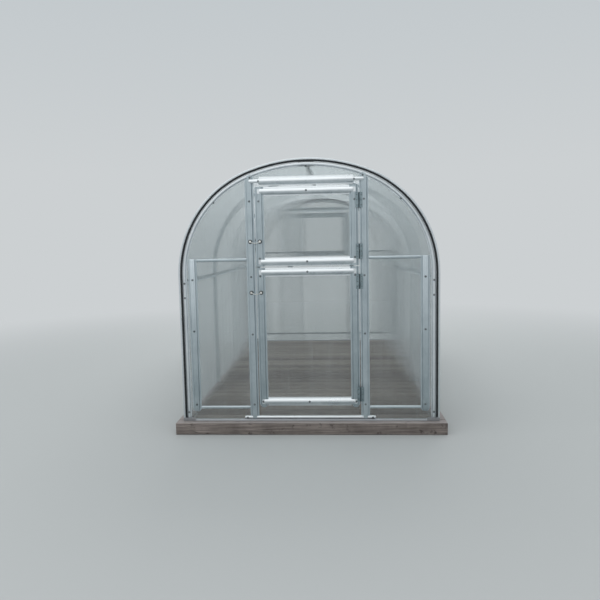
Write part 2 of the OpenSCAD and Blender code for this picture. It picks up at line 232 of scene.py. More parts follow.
def colour(code):
    # sRGB hex to linear
    parts = [int(code[i:i + 2], 16) / 255 for i in (1, 3, 5)]
    return tuple(p / 12.92 if p <= 0.04045 else ((p + 0.055) / 1.055) ** 2.4 for p in parts) + (1.0,)


def addNode(tree, kind, links=(), stops=(), **settings):
    # links fills the inputs, in order or by name; stops are a ramp's places and colours
    made = tree.nodes.new("ShaderNode" + kind)
    for name, value in settings.items():
        setattr(made, name, value)
    for socket, value in links.items() if isinstance(links, dict) else enumerate(links):
        if isinstance(value, bpy.types.Node):
            value = value.outputs[0]
        if isinstance(value, bpy.types.NodeSocket):
            tree.links.new(value, made.inputs[socket])
        else:
            made.inputs[socket].default_value = value
    for index, (place, shade) in enumerate(stops):
        ramp = made.color_ramp.elements
        if index >= len(ramp):
            ramp.new(1.0)
        ramp[index].position = place
        ramp[index].color = colour(shade)
    return made


def startMaterial(name):
    material = bpy.data.materials.new(name)
    material.use_nodes = True
    tree = material.node_tree
    tree.nodes.clear()
    return material, tree, addNode(tree, "TexCoord").outputs["Object"]


def stretch(axis, across, along):
    # pattern scale for marks of one size across an axis and another along it
    scale = [1 / across] * 3
    scale["XYZ".index(axis)] = 1 / along
    return scale


print("materials")


def galvanisedStrip(name, look):
    # Hot-dip galvanised steel strip, roll-formed: dull zinc with a faint spangle, cloudy white bloom and
    # fine drawn lines along each profile; wherever it leans upwards its colour is mixed toward a paler tone,
    # a painted highlight for the sky's reflection. The eye sees a soft, matt, cool grey with bright, smooth
    # upper edges.
    material, tree, place = startMaterial(name)
    # real spangle is 5 to 10 mm across, drawn at about 20 mm so that it shows from the garden
    spangle = addNode(tree, "TexVoronoi", {"Vector": place, "Scale": 1 / (20 * mm)})
    flake = addNode(tree, "SeparateColor", [spangle.outputs["Color"]])
    bloom = addNode(tree, "TexNoise", {"Vector": place, "Scale": 1 / (170 * mm), "Detail": 6,
                                       "Roughness": 0.6})
    drawn = addNode(tree, "Mapping", {"Vector": place, "Scale": stretch(look["along"], 12 * mm, 1400 * mm)})
    lines = addNode(tree, "TexNoise", {"Vector": drawn, "Scale": 1, "Detail": 2, "Roughness": 0.6})
    mixed = addNode(tree, "Math", [flake, look["spangle"], bloom], operation="MULTIPLY_ADD")
    mixed = addNode(tree, "Math", [lines, look["lines"], mixed], operation="MULTIPLY_ADD")
    centred = addNode(tree, "Math", [mixed, (look["spangle"] + look["lines"]) / 2], operation="SUBTRACT")
    tone = addNode(tree, "ValToRGB", [centred],
                   [(0.28, look["dark"]), (0.52, look["mid"]), (0.76, look["light"])])
    normal = addNode(tree, "SeparateXYZ", [addNode(tree, "NewGeometry").outputs["Normal"]])
    lean = look["lean"]
    # painted highlight: faces that lean upwards past lean are mixed toward the highlight tone, for the sky's
    # reflection
    skyHighlight = addNode(tree, "MapRange", [normal.outputs["Z"], lean, lean + 0.42, 0, look["skyHighlight"]],
                     interpolation_type="SMOOTHSTEP")
    zinc = addNode(tree, "MixRGB", [skyHighlight, tone, colour(look["highlightTone"])])
    metal = look["metal"]
    if look["inside"]:
        # painted light: faces that look into the house are mixed toward near-white and made less metallic, so
        # that they read lit from inside
        inward = addNode(tree, "Math", [normal.outputs["Y"], look["inside"]], operation="MULTIPLY")
        white = addNode(tree, "MapRange", [inward, 0.1, 0.5, 0, 0.9])
        zinc = addNode(tree, "MixRGB", [white, zinc, colour("#e6ebee")])
        metal = addNode(tree, "Math", [metal, white], operation="SUBTRACT")
    rough = addNode(tree, "MapRange", [mixed, 0.3, 0.9, look["rough"] - 0.04, look["rough"] + 0.06])
    dents = addNode(tree, "Bump", {"Height": lines, "Strength": 0.10, "Distance": 0.4 * mm})
    shader = addNode(tree, "BsdfPrincipled", {"Base Color": zinc, "Metallic": metal, "Roughness": rough,
                                              "Normal": dents})
    addNode(tree, "OutputMaterial", [shader])
    return material


# along is the profile's own axis, lean the tilt at which the painted highlight starts, inside the way into
# the house
dullLook = dict(dark="#9daab0", mid="#abb7bc", light="#bac5c9", highlightTone="#e0e7eb", skyHighlight=0.8, rough=0.42,
                metal=1.0, spangle=0.10, lines=0.45, lean=-0.12, inside=0)
# the rails', ring's and threshold's zinc: a lighter, smoother copy of the posts' zinc, its lighter tones
# painted light for the sky's reflection
skyLitLook = dict(dullLook, dark="#b9c2c7", mid="#c8d0d4", light="#d6dcdf", highlightTone="#eff2f3", skyHighlight=1.0,
                  rough=0.26, lean=-0.22)
archLook = dict(skyLitLook, along="Z", dark="#c3cacf", mid="#d0d7db", light="#dde3e6", rough=0.30, lean=-0.12)
# inner arches and purlins: a paler, less metallic zinc, part white bloom and part painted light, so that they
# read lit through the sheets
bloomedAndLitLook = dict(dullLook, dark="#c4cdd2", mid="#d2dade", light="#dfe5e8", metal=0.4, rough=0.5)
dustyLook = dict(dullLook, along="X", dark="#95979a", mid="#a3a4a7", light="#b1b1b4", highlightTone="#c2c3c6",
                 skyHighlight=0.6)
zincOf = {}
for facing, where in ((1, "Front"), (-1, "Rear")):
    zincOf[facing] = dict(
        upright=galvanisedStrip("galvanisedStripUpright" + where, dict(dullLook, along="Z", inside=facing)),
        level=galvanisedStrip("galvanisedStripLevel" + where, dict(dullLook, along="X", inside=facing)),
        rail=galvanisedStrip("skyLitGalvanisedRail" + where, dict(skyLitLook, along="X", inside=facing)))
longZinc = galvanisedStrip("galvanisedStripLong", dict(dullLook, along="Y"))
archZinc = galvanisedStrip("galvanisedStripBloomedAndLit", dict(bloomedAndLitLook, along="Z"))
purlinZinc = galvanisedStrip("galvanisedStripLongBloomedAndLit", dict(bloomedAndLitLook, along="Y"))
dustyZinc = galvanisedStrip("galvanisedStripDusty", dustyLook)
# the threshold's painted highlight reaches down over its front face too
thresholdLitSteel = galvanisedStrip("thresholdSkyLitSteel", dict(skyLitLook, along="X", lean=-0.45))    # its face too
brightArch = galvanisedStrip("skyLitGalvanisedArch", archLook)


def platedSteel(name, look):
    # Zinc-plated and passivated steel, pressed or headed: finer and smoother than hot-dip zinc,
    # with a faint cloudy tarnish. The eye sees a tight highlight on a darker, slightly warm grey.
    # Hinges are also darker in a narrow band along their pins' line.
    material, tree, place = startMaterial(name)
    tarnish = addNode(tree, "TexNoise", {"Vector": place, "Scale": 1 / (35 * mm), "Detail": 5,
                                         "Roughness": 0.65})
    tone = addNode(tree, "ValToRGB", [tarnish], [(0.32, look["dark"]), (0.68, look["light"])])
    if "pin" in look:
        # a darker band either side of the pin line
        aside = addNode(tree, "Math", [addNode(tree, "SeparateXYZ", [place])], operation="ABSOLUTE")
        grease = addNode(tree, "Math", [aside, look["pin"], look["grease"]], operation="COMPARE")
        tone = addNode(tree, "MixRGB", [grease, tone, colour("#3b4346")])
    rough = addNode(tree, "MapRange", [tarnish, 0.3, 0.7, look["rough"] + 0.10, look["rough"]])
    grit = addNode(tree, "TexNoise", {"Vector": place, "Scale": 1 / (2 * mm), "Detail": 2})
    dents = addNode(tree, "Bump", {"Height": grit, "Strength": 0.08, "Distance": 0.2 * mm})
    shader = addNode(tree, "BsdfPrincipled", {"Base Color": tone, "Metallic": 1.0, "Roughness": rough,
                                              "Normal": dents})
    addNode(tree, "OutputMaterial", [shader])
    return material


screwSteel = platedSteel("zincPlatedScrewSteel", dict(dark="#4f5558", light="#878d90", rough=0.30))
# near-black washer steel: the washers' dark ring also stands in for the latch knobs' shadow, a painted shadow
washerAndShadowSteel = platedSteel("darkWasherAndShadowRing", dict(dark="#2c3032", light="#4b5053", rough=0.34))
latchSteel = platedSteel("zincPlatedLatchSteel", dict(dark="#c3c4bf", light="#ecebe6", rough=0.22))


def twinWallSheet(name, look):
    # Extruded twin-wall polycarbonate, 6 mm, clear: ribs run along each sheet and smear what lies behind
    # it across them, the walls carry a soft gloss, and dust and the many faces give a thin milky haze
    # that thickens at a slant, where the ribs close up. Ends closed with foil tape look solid and grey.
    material, tree, place = startMaterial(name)
    across = addNode(tree, "SeparateXYZ", [place]).outputs[look["across"]]
    # the ribs are 6 mm apart, drawn at 28 mm so that they show as single lines
    ribPitch = 28 * mm
    fold = addNode(tree, "Math", [across, ribPitch / 2], operation="PINGPONG")
    rib = addNode(tree, "MapRange", [fold, 0, ribPitch * 0.22, 1, 0], interpolation_type="SMOOTHSTEP")
    # streaks 28 mm wide and some 800 mm long
    combed = addNode(tree, "Mapping", {"Vector": place, "Scale": stretch(look["across"], 1 / 1.3, 28 * mm)})
    streak = addNode(tree, "TexNoise", {"Vector": combed, "Scale": 1, "Detail": 4, "Roughness": 0.65})
    dust = addNode(tree, "TexNoise", {"Vector": place, "Scale": 2.2, "Detail": 4, "Roughness": 0.6})
    streakHaze = addNode(tree, "MapRange", [streak, 0.42, 0.78, look["haze"], look["haze"] + look["streak"]])
    dustHaze = addNode(tree, "MapRange", [dust, 0.4, 0.8, 0, look["dust"]])
    haze = addNode(tree, "Math", [rib, look["rib"], streakHaze], operation="MULTIPLY_ADD")
    haze = addNode(tree, "Math", [haze, dustHaze], operation="ADD")
    slant = addNode(tree, "LayerWeight", {"Blend": 0.5}).outputs["Facing"]
    closing = addNode(tree, "Math", [slant, 2.0], operation="POWER")
    haze = addNode(tree, "Math", [closing, look["slant"], haze], operation="MULTIPLY_ADD")
    normal = addNode(tree, "NewGeometry").outputs["Normal"]
    level = addNode(tree, "Math", [addNode(tree, "SeparateXYZ", [normal]).outputs["Y"]], operation="ABSOLUTE")
    ends = addNode(tree, "Math", [level, 0.7], operation=look["ends"])
    haze = addNode(tree, "Math", [ends, 0.9, haze], operation="MULTIPLY_ADD", use_clamp=True)
    ripple = addNode(tree, "Bump", {"Height": rib, "Strength": 0.25, "Distance": 0.5 * mm})
    # rays of sight are bent a little to each side by the fine faces between the ribs, light passes straight
    facetSize = 0.55 * mm
    facet = addNode(tree, "Math", [across, facetSize], operation="PINGPONG")
    bend = addNode(tree, "MapRange", [facet, 0, facetSize, -look["bend"], look["bend"]])
    tilt = addNode(tree, "CombineXYZ", {look["across"]: bend})
    tilted = addNode(tree, "VectorMath", [normal, tilt], operation="ADD")
    tilted = addNode(tree, "VectorMath", [tilted], operation="NORMALIZE")
    path = addNode(tree, "LightPath").outputs
    sight = addNode(tree, "Math", [path["Is Camera Ray"], path["Is Transmission Ray"]], operation="MAXIMUM")
    straight = addNode(tree, "BsdfTransparent", [colour(look["tint"])])
    smeared = addNode(tree, "BsdfRefraction", {"Color": colour(look["tint"]), "Roughness": 0.0, "IOR": 1.12,
                                               "Normal": tilted})
    clear = addNode(tree, "MixShader", [sight, straight, smeared])
    milkTone = addNode(tree, "MixRGB", [ends, colour(look["milk"]), colour("#a3aaae")])
    milk = addNode(tree, "BsdfDiffuse", {"Color": milkTone, "Normal": ripple})
    glow = addNode(tree, "BsdfTranslucent", {"Color": colour(look["milk"]), "Normal": ripple})
    cloudy = addNode(tree, "MixShader", [look["through"], milk, glow])
    body = addNode(tree, "MixShader", [haze, clear, cloudy])
    edge = addNode(tree, "Math", [slant, 5.0], operation="POWER")
    shine = addNode(tree, "Math", [edge, 0.55, 0.045], operation="MULTIPLY_ADD")
    gloss = addNode(tree, "BsdfGlossy", {"Color": (1, 1, 1, 1), "Roughness": 0.16, "Normal": ripple})
    addNode(tree, "OutputMaterial", [addNode(tree, "MixShader", [shine, body, gloss])])
    return material


# across is the way over the ribs, ends the test that finds end faces by how far they turn to Y
sheetLook = dict(tint="#edefef", milk="#eff3f5", haze=0.02, streak=0.07, rib=0.05, dust=0.03, slant=0.10,
                 bend=0.22, through=0.5)
roofLook = dict(sheetLook, across="Y", ends="GREATER_THAN", haze=0.10, slant=0.80, through=0.88)
gableSheet = twinWallSheet("twinWallPolycarbonateGable", dict(sheetLook, across="X", ends="LESS_THAN"))
roofSheet = twinWallSheet("twinWallPolycarbonateRoof", roofLook)


def sealRubber():
    # Extruded EPDM rubber: near black, satin, with faint lengthwise drag lines and grey dust.
    material, tree, place = startMaterial("epdmSealRubber")
    dust = addNode(tree, "TexNoise", {"Vector": place, "Scale": 1 / (60 * mm), "Detail": 6, "Roughness": 0.7})
    tone = addNode(tree, "ValToRGB", [dust], [(0.35, "#14181b"), (0.6, "#1d2226"), (0.85, "#343a3e")])
    grit = addNode(tree, "TexNoise", {"Vector": place, "Scale": 1 / (3 * mm), "Detail": 3})
    dents = addNode(tree, "Bump", {"Height": grit, "Strength": 0.15, "Distance": 0.3 * mm})
    shader = addNode(tree, "BsdfPrincipled", {"Base Color": tone, "Roughness": 0.55, "Normal": dents,
                                              "Specular IOR Level": 0.4})
    addNode(tree, "OutputMaterial", [shader])
    return material


rubber = sealRubber()


def weatheredTimber(name, look):
    # Sawn softwood, brown preservative stain weathered grey: long grain with dark checks, paler worn
    # edges, growth rings on the end grain. The eye sees a dry, matt, purplish grey-brown.
    material, tree, place = startMaterial(name)
    along = look["along"]
    grainPlace = addNode(tree, "Mapping", {"Vector": place, "Scale": stretch(along, 9 * mm, 320 * mm)})
    grain = addNode(tree, "TexNoise", {"Vector": grainPlace, "Scale": 1, "Detail": 7, "Roughness": 0.68,
                                       "Distortion": 0.35})
    patch = addNode(tree, "TexNoise", {"Vector": place, "Scale": 1 / (260 * mm), "Detail": 5,
                                       "Roughness": 0.6})
    checkPlace = addNode(tree, "Mapping", {"Vector": place, "Scale": stretch(along, 26 * mm, 520 * mm)})
    check = addNode(tree, "TexVoronoi", {"Vector": checkPlace, "Scale": 1}, feature="DISTANCE_TO_EDGE")
    crack = addNode(tree, "MapRange", [check, 0, 0.035, 1, 0])
    dry = addNode(tree, "MapRange", [patch, 0.5, 0.62])
    crack = addNode(tree, "Math", [crack, dry], operation="MULTIPLY")
    # each board has a tone of its own
    boards = addNode(tree, "SeparateXYZ", [place]).outputs["Y"]
    boardStep = addNode(tree, "Math", [boards, look["pitch"]], operation="DIVIDE")
    boardStep = addNode(tree, "Math", [boardStep, 0.5], operation="ADD")
    boardStep = addNode(tree, "Math", [boardStep], operation="FLOOR")
    each = addNode(tree, "TexWhiteNoise", {"W": boardStep}, noise_dimensions="1D")
    worn = addNode(tree, "Math", [patch, 0.55, grain], operation="MULTIPLY_ADD")
    worn = addNode(tree, "Math", [each, look["each"], worn], operation="MULTIPLY_ADD")
    centred = addNode(tree, "Math", [worn, 0.275 + look["each"] / 2], operation="SUBTRACT")
    tone = addNode(tree, "ValToRGB", [centred],
                   [(0.25, look["dark"]), (0.48, look["mid"]), (0.72, look["light"])])
    # growth rings, 4 mm apart, show where the end grain faces out
    middle = addNode(tree, "Mapping", {"Vector": place, "Location": look["heart"]})
    rings = addNode(tree, "TexWave", {"Vector": middle, "Scale": 0.314 / (8 * mm), "Distortion": 2.5,
                                      "Detail": 3, "Detail Scale": 3},
                    wave_type="RINGS", rings_direction=along)
    endTone = addNode(tree, "ValToRGB", [rings.outputs["Fac"]], [(0.2, look["dark"]), (0.8, look["mid"])])
    facing = addNode(tree, "SeparateXYZ", [addNode(tree, "NewGeometry").outputs["Normal"]]).outputs
    endFace = addNode(tree, "Math", [facing[along]], operation="ABSOLUTE")
    endMask = addNode(tree, "Math", [endFace, 0.9], operation="GREATER_THAN")
    wood = addNode(tree, "MixRGB", [endMask, tone, endTone])
    # damp stains in ragged spots 50 to 100 mm across, and tops paler, part sun fading and part painted
    # skylight
    stain = addNode(tree, "TexNoise", {"Vector": place, "Scale": 1 / (75 * mm), "Detail": 6,
                                       "Roughness": 0.62})
    stained = addNode(tree, "MapRange", [stain, 0.56, 0.68, 0, look["stain"]],
                      interpolation_type="SMOOTHSTEP")
    wood = addNode(tree, "MixRGB", [stained, wood, colour("#3a322f")])
    # painted light: upward faces are paler, part sun fading and part skylight
    sunFadedLitTops = addNode(tree, "MapRange", [facing["Z"], 0.6, 0.95, 0, look["sunFadeAndLight"]])
    wood = addNode(tree, "MixRGB", [sunFadedLitTops, wood, colour("#b9b2b0")])
    wood = addNode(tree, "MixRGB", [crack, wood, colour("#2b2523")])
    rough = addNode(tree, "MapRange", [worn, 0.3, 1.2, 0.92, 0.74])
    lift = addNode(tree, "Math", [crack, -1.4, grain], operation="MULTIPLY_ADD")
    dents = addNode(tree, "Bump", {"Height": lift, "Strength": 0.6, "Distance": 1.5 * mm})
    shader = addNode(tree, "BsdfPrincipled", {"Base Color": wood, "Roughness": rough, "Normal": dents,
                                              "Specular IOR Level": 0.3})
    addNode(tree, "OutputMaterial", [shader])
    return material


boardForm = dict(count=27, gap=5 * mm, edge=3 * mm)
deckLow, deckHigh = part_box("floor_deck")
boardPitch = (deckHigh.y - deckLow.y) / boardForm["count"]
beamLook = dict(dark="#4b4340", mid="#786f6a", light="#a0958f", pitch=10.0, each=0.0, stain=0.75, sunFadeAndLight=0.45,
                heart=(0, 0, -0.03))
boardLook = dict(dark="#534a44", mid="#746a62", light="#958a80", pitch=boardPitch, each=0.30, stain=0.25,
                 sunFadeAndLight=0.0, heart=(0, 0, -0.02))
timberAcross = weatheredTimber("weatheredSoftwoodAcross", dict(beamLook, along="X"))
timberAlong = weatheredTimber("weatheredSoftwoodAlong", dict(beamLook, along="Y"))
boardWood = weatheredTimber("weatheredFloorBoard", dict(boardLook, along="X"))


def foldStrip(length, form):
    # a flat strip, stood up, folded into a hat with its ridge towards -Y, left in edit mode
    half = form["width"] / 2
    ridge = form["ridge"] / 2
    foot = ridge + form["slope"]
    flanged = foot < half - tiny
    bpy.ops.mesh.primitive_plane_add(size=1)
    strip = openMesh(settle(bpy.context.object, (0, 0, length / 2), (quarter, 0, 0),
                            (form["width"], length, 1)))
    for line in [ridge] + [foot] * flanged:
        cut((line, 0, 0), (1, 0, 0))
        cut((-line, 0, 0), (1, 0, 0))
    pick("VERT", lambda p: abs(p.x) < ridge + tiny)
    move(y=-form["depth"])
    if flanged:
        pick("VERT", lambda p: abs(p.x) > foot - tiny)
        move(y=-form["steel"])
        pick("EDGE", lambda a, b: abs(abs(a.x) - foot) < tiny and abs(a.x - b.x) < tiny)
        bevel(form["round"] * 0.4, 2)
    pick("EDGE", lambda a, b: abs(abs(a.x) - ridge) < tiny and abs(a.x - b.x) < tiny)
    bevel(form["round"], form.get("roundSteps", 3))
    bead = form.get("bead")
    if bead:
        for side in (-1, 1):
            for shift in (-bead["half"], 0, bead["half"]):
                cut((side * bead["centre"] + shift, 0, 0), (1, 0, 0))
        pick("VERT", lambda p: abs(abs(p.x) - bead["centre"]) < tiny)
        move(y=bead["deep"])
    return strip


def tabEnd(form, end, reach):
    # runs the ridge's front on past the end as a flat tab with rounded corners
    flat = form["ridge"] / 2 - form["round"] * 0.5
    near = 20 * mm
    pick("EDGE", lambda a, b: abs(a.z - b.z) < near and min(abs(a.z - end), abs(b.z - end)) < near
         and abs(a.x - b.x) > tiny and max(abs(a.x), abs(b.x)) < flat
         and max(a.y, b.y) < 3 * mm - form["depth"])
    bpy.ops.mesh.extrude_region_move(TRANSFORM_OT_translate={"value": (0, 0, reach)})
    squeeze((1, 0, 1), (0, -form["depth"], end))


def thicken(strip, form):
    modify(strip, "SOLIDIFY", thickness=form["steel"], offset=-1, use_even_offset=True)
    return smooth(strip)


def profile(length, form, *crimps):
    # a finished upright strip; each crimp narrows and flattens a stretch at the foot (0), the top (1) or
    # both, as a press does before the screw goes in
    strip = foldStrip(length, form)
    for crimp in crimps:
        for end in crimp.get("ends", (0, 1)):
            cut((0, 0, crimp["length"] if end == 0 else length - crimp["length"]), (0, 0, 1))
            pick("VERT", lambda p: abs(p.z - end * length) < tiny)
            squeeze((crimp["narrow"], crimp["flat"], 1), (0, -form["steel"], end * length))
    return thicken(strip, form)


def block(low, high):
    # a box from corner to corner, left in edit mode
    bpy.ops.mesh.primitive_cube_add(size=1)
    return openMesh(settle(bpy.context.object, (low + high) / 2, (0, 0, 0), high - low))


hat = dict(width=72 * mm, ridge=40 * mm, slope=4 * mm, depth=15 * mm, steel=2 * mm, round=4 * mm,
           bead=dict(centre=8 * mm, half=2.5 * mm, deep=1.2 * mm))
hatHalf = hat["width"] / 2
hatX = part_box("front_posts")[1].x - hatHalf       # middle of a gable post
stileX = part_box("lower_leaf_stiles")[1].x - hatHalf
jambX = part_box("front_jambs")[1].x - hatHalf
ringForm = dict(width=37 * mm, ridge=21 * mm, slope=2 * mm, depth=13 * mm, steel=2 * mm, round=6 * mm,
                roundSteps=4, outer=29 * mm, lip=28 * mm)
ringInner = ringForm["outer"] + ringForm["width"]
ringMiddle = ringForm["outer"] + ringForm["width"] / 2


print("timber base and floor")


def timberBeam(low, high, axis, wear):
    # a sawn beam: rounded arrises, cut into short lengths and worn unevenly, never past its sawn size
    beam = block(low, high)
    bevel(wear["arris"], 2)
    span = high[axis] - low[axis]
    steps = round(span / wear["step"])
    line = [0, 0, 0]
    line[axis] = 1
    for step in range(1, steps):
        spot = list(low)
        spot[axis] = low[axis] + span * step / steps
        cut(spot, line)
    bumps = bpy.data.textures.new("timberWear", "CLOUDS")
    bumps.noise_scale = wear["size"]
    modify(beam, "DISPLACE", texture=bumps, strength=wear["deep"], mid_level=1.0, texture_coords="LOCAL")
    return smooth(beam, 50)


beamWear = dict(arris=5 * mm, step=90 * mm, size=0.11, deep=5 * mm)
boardWear = dict(arris=boardForm["edge"], step=200 * mm, size=0.16, deep=1.5 * mm)
for label, node in (("beamFront", "base_beam_front"), ("beamRear", "base_beam_rear")):
    gather(label, [timberBeam(*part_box(node), 0, beamWear)], "house", "weathered_timber", timberAcross, node)
low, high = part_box("base_beams_side")
sideWidth = cadBox[1].x - deckHigh.x
sideBeams = [timberBeam(Vector((x, low.y, low.z)), Vector((x + sideWidth, high.y, high.z)), 1, beamWear)
             for x in (-high.x, high.x - sideWidth)]
gather("beamsSide", sideBeams, "house", "weathered_timber", timberAlong, "base_beams_side")
low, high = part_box("floor_joists")
joistHalf = 25 * mm
joistX = (low.x + joistHalf, 0, high.x - joistHalf)
joists = [timberBeam(Vector((x - joistHalf, low.y, 0)), Vector((x + joistHalf, high.y, high.z)), 1,
                     dict(beamWear, step=400 * mm)) for x in joistX]
gather("joists", joists, "house", "weathered_timber", timberAlong, "floor_joists")

boardWidth = boardPitch - boardForm["gap"]
boardLow = Vector((deckLow.x, deckLow.y + boardForm["gap"] / 2, deckLow.z))
boards = timberBeam(boardLow, Vector((deckHigh.x, boardLow.y + boardWidth, deckHigh.z)), 0, boardWear)
repeat(boards, boardForm["count"], (0, boardPitch, 0))
gather("floorBoards", [boards], "house", "floor_board", boardWood, "floor_deck")

# countersunk screws: two through each board into every joist
deckScrewForm = dict(foot=4.5 * mm, head=3.6 * mm, tall=1.2 * mm, rim=1.575 * mm, recess=0.8 * mm,
                     fromEdge=25 * mm)
bpy.ops.mesh.primitive_cone_add(vertices=10, radius1=deckScrewForm["foot"], radius2=deckScrewForm["head"],
                                depth=deckScrewForm["tall"])
firstSpot = (joistX[0], boardLow.y + deckScrewForm["fromEdge"], floorTop - deckScrewForm["tall"] / 2)
deckScrew = openMesh(settle(bpy.context.object, firstSpot))
pick("FACE", lambda p, n: n.z > 0.9)
bpy.ops.mesh.inset(thickness=deckScrewForm["rim"])
move(z=-deckScrewForm["recess"])
repeat(deckScrew, 2, (0, boardWidth - 2 * deckScrewForm["fromEdge"], 0))
repeat(deckScrew, boardForm["count"], (0, boardPitch, 0))
repeat(deckScrew, len(joistX), (joistX[1] - joistX[0], 0, 0))
gather("floorScrews", [deckScrew], "house", "latch_steel", screwSteel)


print("arches, seals and roof sheets")


def sweepArch(extrude=bpy.ops.mesh.extrude_region_move):
    # carries the selection at the right spring line over the arch and down to the left foot
    for angle, x, z, steps in archBends:
        bpy.ops.mesh.spin(steps=steps, angle=angle, center=(x, 0, z), axis=(0, 1, 0))
    extrude(TRANSFORM_OT_translate={"value": (0, 0, -legLength)})


def bendOver(outward):
    # bends a right-hand leg over from its upper end and turns every face out; outward tells where out is
    pick("EDGE", lambda a, b: abs(a.z - springLine) < tiny and abs(b.z - springLine) < tiny)
    sweepArch()
    mendSkin(outward)


def mendSkin(outward):
    bpy.ops.mesh.select_all(action="SELECT")
    bpy.ops.mesh.remove_doubles(threshold=0.02 * mm)
    bpy.ops.mesh.normals_make_consistent(inside=False)
    mesh = bmesh.from_edit_mesh(bpy.context.object.data)
    if sum(outward(f.calc_center_median(), f.normal) * f.calc_area() for f in mesh.faces) < 0:
        bpy.ops.mesh.flip_normals()


def awayFromMiddle(p, n):
    return n.x * p.x + n.z * (p.z - crownCentre)


def gableRing(facing):
    # the ring is a hat profile seen face on, with a lip along its outer edge that carries the seal
    edge = ringForm["width"] / 2 - tiny
    deep = ringForm["lip"] + ringForm["steel"]
    strip = foldStrip(legLength, ringForm)
    pick("EDGE", lambda a, b: a.x > edge and b.x > edge)
    bpy.ops.mesh.extrude_region_move(TRANSFORM_OT_translate={"value": (0, deep, 0)})
    openMesh(settle(strip, (halfWidth - ringMiddle, 0, footLine)))
    bendOver(lambda p, n: -n.y)
    return onGable([thicken(strip, ringForm)], facing)[0]


sleeveForm = dict(ringForm, width=38.4 * mm, ridge=22.4 * mm, depth=14 * mm, round=6.5 * mm, thin=1 * mm,
                  half=math.radians(2.7), stub=2 * mm)


def archSleeve(facing):
    # a short thin sleeve over the joint of the two ring halves at the crown
    half = sleeveForm["half"]
    strip = foldStrip(sleeveForm["stub"], sleeveForm)
    openMesh(settle(strip, (crownRadius - ringMiddle, 0, -sleeveForm["stub"])))
    pick("EDGE", lambda a, b: abs(a.z) < tiny and abs(b.z) < tiny)
    bpy.ops.mesh.spin(steps=6, angle=2 * half, center=(0, 0, 0), axis=(0, 1, 0))
    mendSkin(lambda p, n: -n.y)
    thicken(strip, dict(sleeveForm, steel=sleeveForm["thin"]))
    return onGable([settle(strip, (0, 0, crownCentre), (0, half - quarter, 0))], facing)[0]


innerForm = dict(width=60 * mm, ridge=32 * mm, slope=5 * mm, depth=24.7 * mm, steel=2 * mm, round=4 * mm,
                 seat=6.3 * mm)


def innerArch(y):
    # an arch between the gables, its ridge towards the inside and its flanges under the roof sheets
    strip = foldStrip(legLength, innerForm)
    openMesh(settle(strip, (halfWidth - innerForm["seat"], y, footLine), (0, 0, -quarter)))
    bendOver(lambda p, n: -awayFromMiddle(p, n))
    return thicken(strip, innerForm)


def archBand(form, facing):
    # a solid band round the arch, its front edges rounded
    outer = halfWidth - form["inset"]
    band = block(Vector((outer - form["width"], form["front"], footLine)),
                 Vector((outer, form["back"], springLine)))
    pick("EDGE", lambda a, b: abs(a.z - b.z) > legLength / 2 and a.y < form["front"] + tiny)
    bevel(form["round"], 3)
    pick("FACE", lambda p, n: n.y < -0.95)
    bpy.ops.mesh.inset(thickness=1 * mm)
    pick("FACE", lambda p, n: p.z > springLine - tiny)
    bpy.ops.mesh.delete(type="ONLY_FACE")
    pick("EDGE", lambda a, b: abs(a.z - springLine) < tiny and abs(b.z - springLine) < tiny)
    sweepArch()
    bpy.ops.mesh.edge_face_add()
    mendSkin(lambda p, n: 1)
    return onGable([smooth(band, 40)], facing)[0]


def roofPlate(low, high):
    bpy.ops.mesh.primitive_plane_add(size=1)
    middle = Vector((halfWidth, (low.y + high.y) / 2, (footLine + springLine) / 2))
    sheet = openMesh(settle(bpy.context.object, middle, (0, quarter, 0), (legLength, high.y - low.y, 1)))
    bendOver(awayFromMiddle)
    modify(sheet, "SOLIDIFY", thickness=sheetThick, offset=-1)
    return smooth(sheet, 25)


for label, node, facing in (("ringFront", "arch_front", 1), ("ringRear", "arch_rear", -1)):
    gather(label, [gableRing(facing), archSleeve(facing)], "house", "bright_galvanised_steel", brightArch,
           node)
for label, node in (("archSecond", "arch_second"), ("archThird", "arch_third")):
    low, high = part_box(node)
    gather(label, [innerArch((low.y + high.y) / 2)], "house", "galvanised_steel", archZinc, node)
# a thick rubber lip between the ring and the roof sheet, and a thin metal strip that closes the sheet's end
sealForm = dict(inset=13 * mm, width=15 * mm, front=-13 * mm, back=9 * mm, round=6 * mm)
edgeForm = dict(inset=0.4 * mm, width=12.2 * mm, front=-17 * mm, back=-15.2 * mm, round=0.7 * mm)
gather("edgeSeals", [archBand(sealForm, facing) for facing in (1, -1)], "house", "seal_rubber", rubber,
       "seals")
gather("sheetEdgeStrips", [archBand(edgeForm, facing) for facing in (1, -1)], "house",
       "bright_galvanised_steel", brightArch)
for label, node in (("roofFront", "roof_sheet_front"), ("roofMiddle", "roof_sheet_middle"),
                    ("roofRear", "roof_sheet_rear")):
    gather(label, [roofPlate(*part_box(node))], "house", "twin_wall_sheet", roofSheet, node)


print("uprights and rails")

railHat = dict(width=72 * mm, ridge=40 * mm, slope=4 * mm, depth=17 * mm, steel=2 * mm, round=5 * mm)
railHalf = railHat["width"] / 2
crownBar = dict(width=38 * mm, ridge=16 * mm, slope=11 * mm, depth=5 * mm, steel=1.5 * mm, round=7 * mm,
                roundSteps=4)
neckBar = dict(crownBar, width=28 * mm, ridge=13 * mm, slope=7.5 * mm, round=3.5 * mm)
thinForm = dict(width=24 * mm, ridge=18 * mm, slope=3 * mm, depth=10 * mm, steel=2 * mm, round=3 * mm)
thinHalf = thinForm["width"] / 2
postForm = dict(topGap=1 * mm, tab=24 * mm, spare=100 * mm)
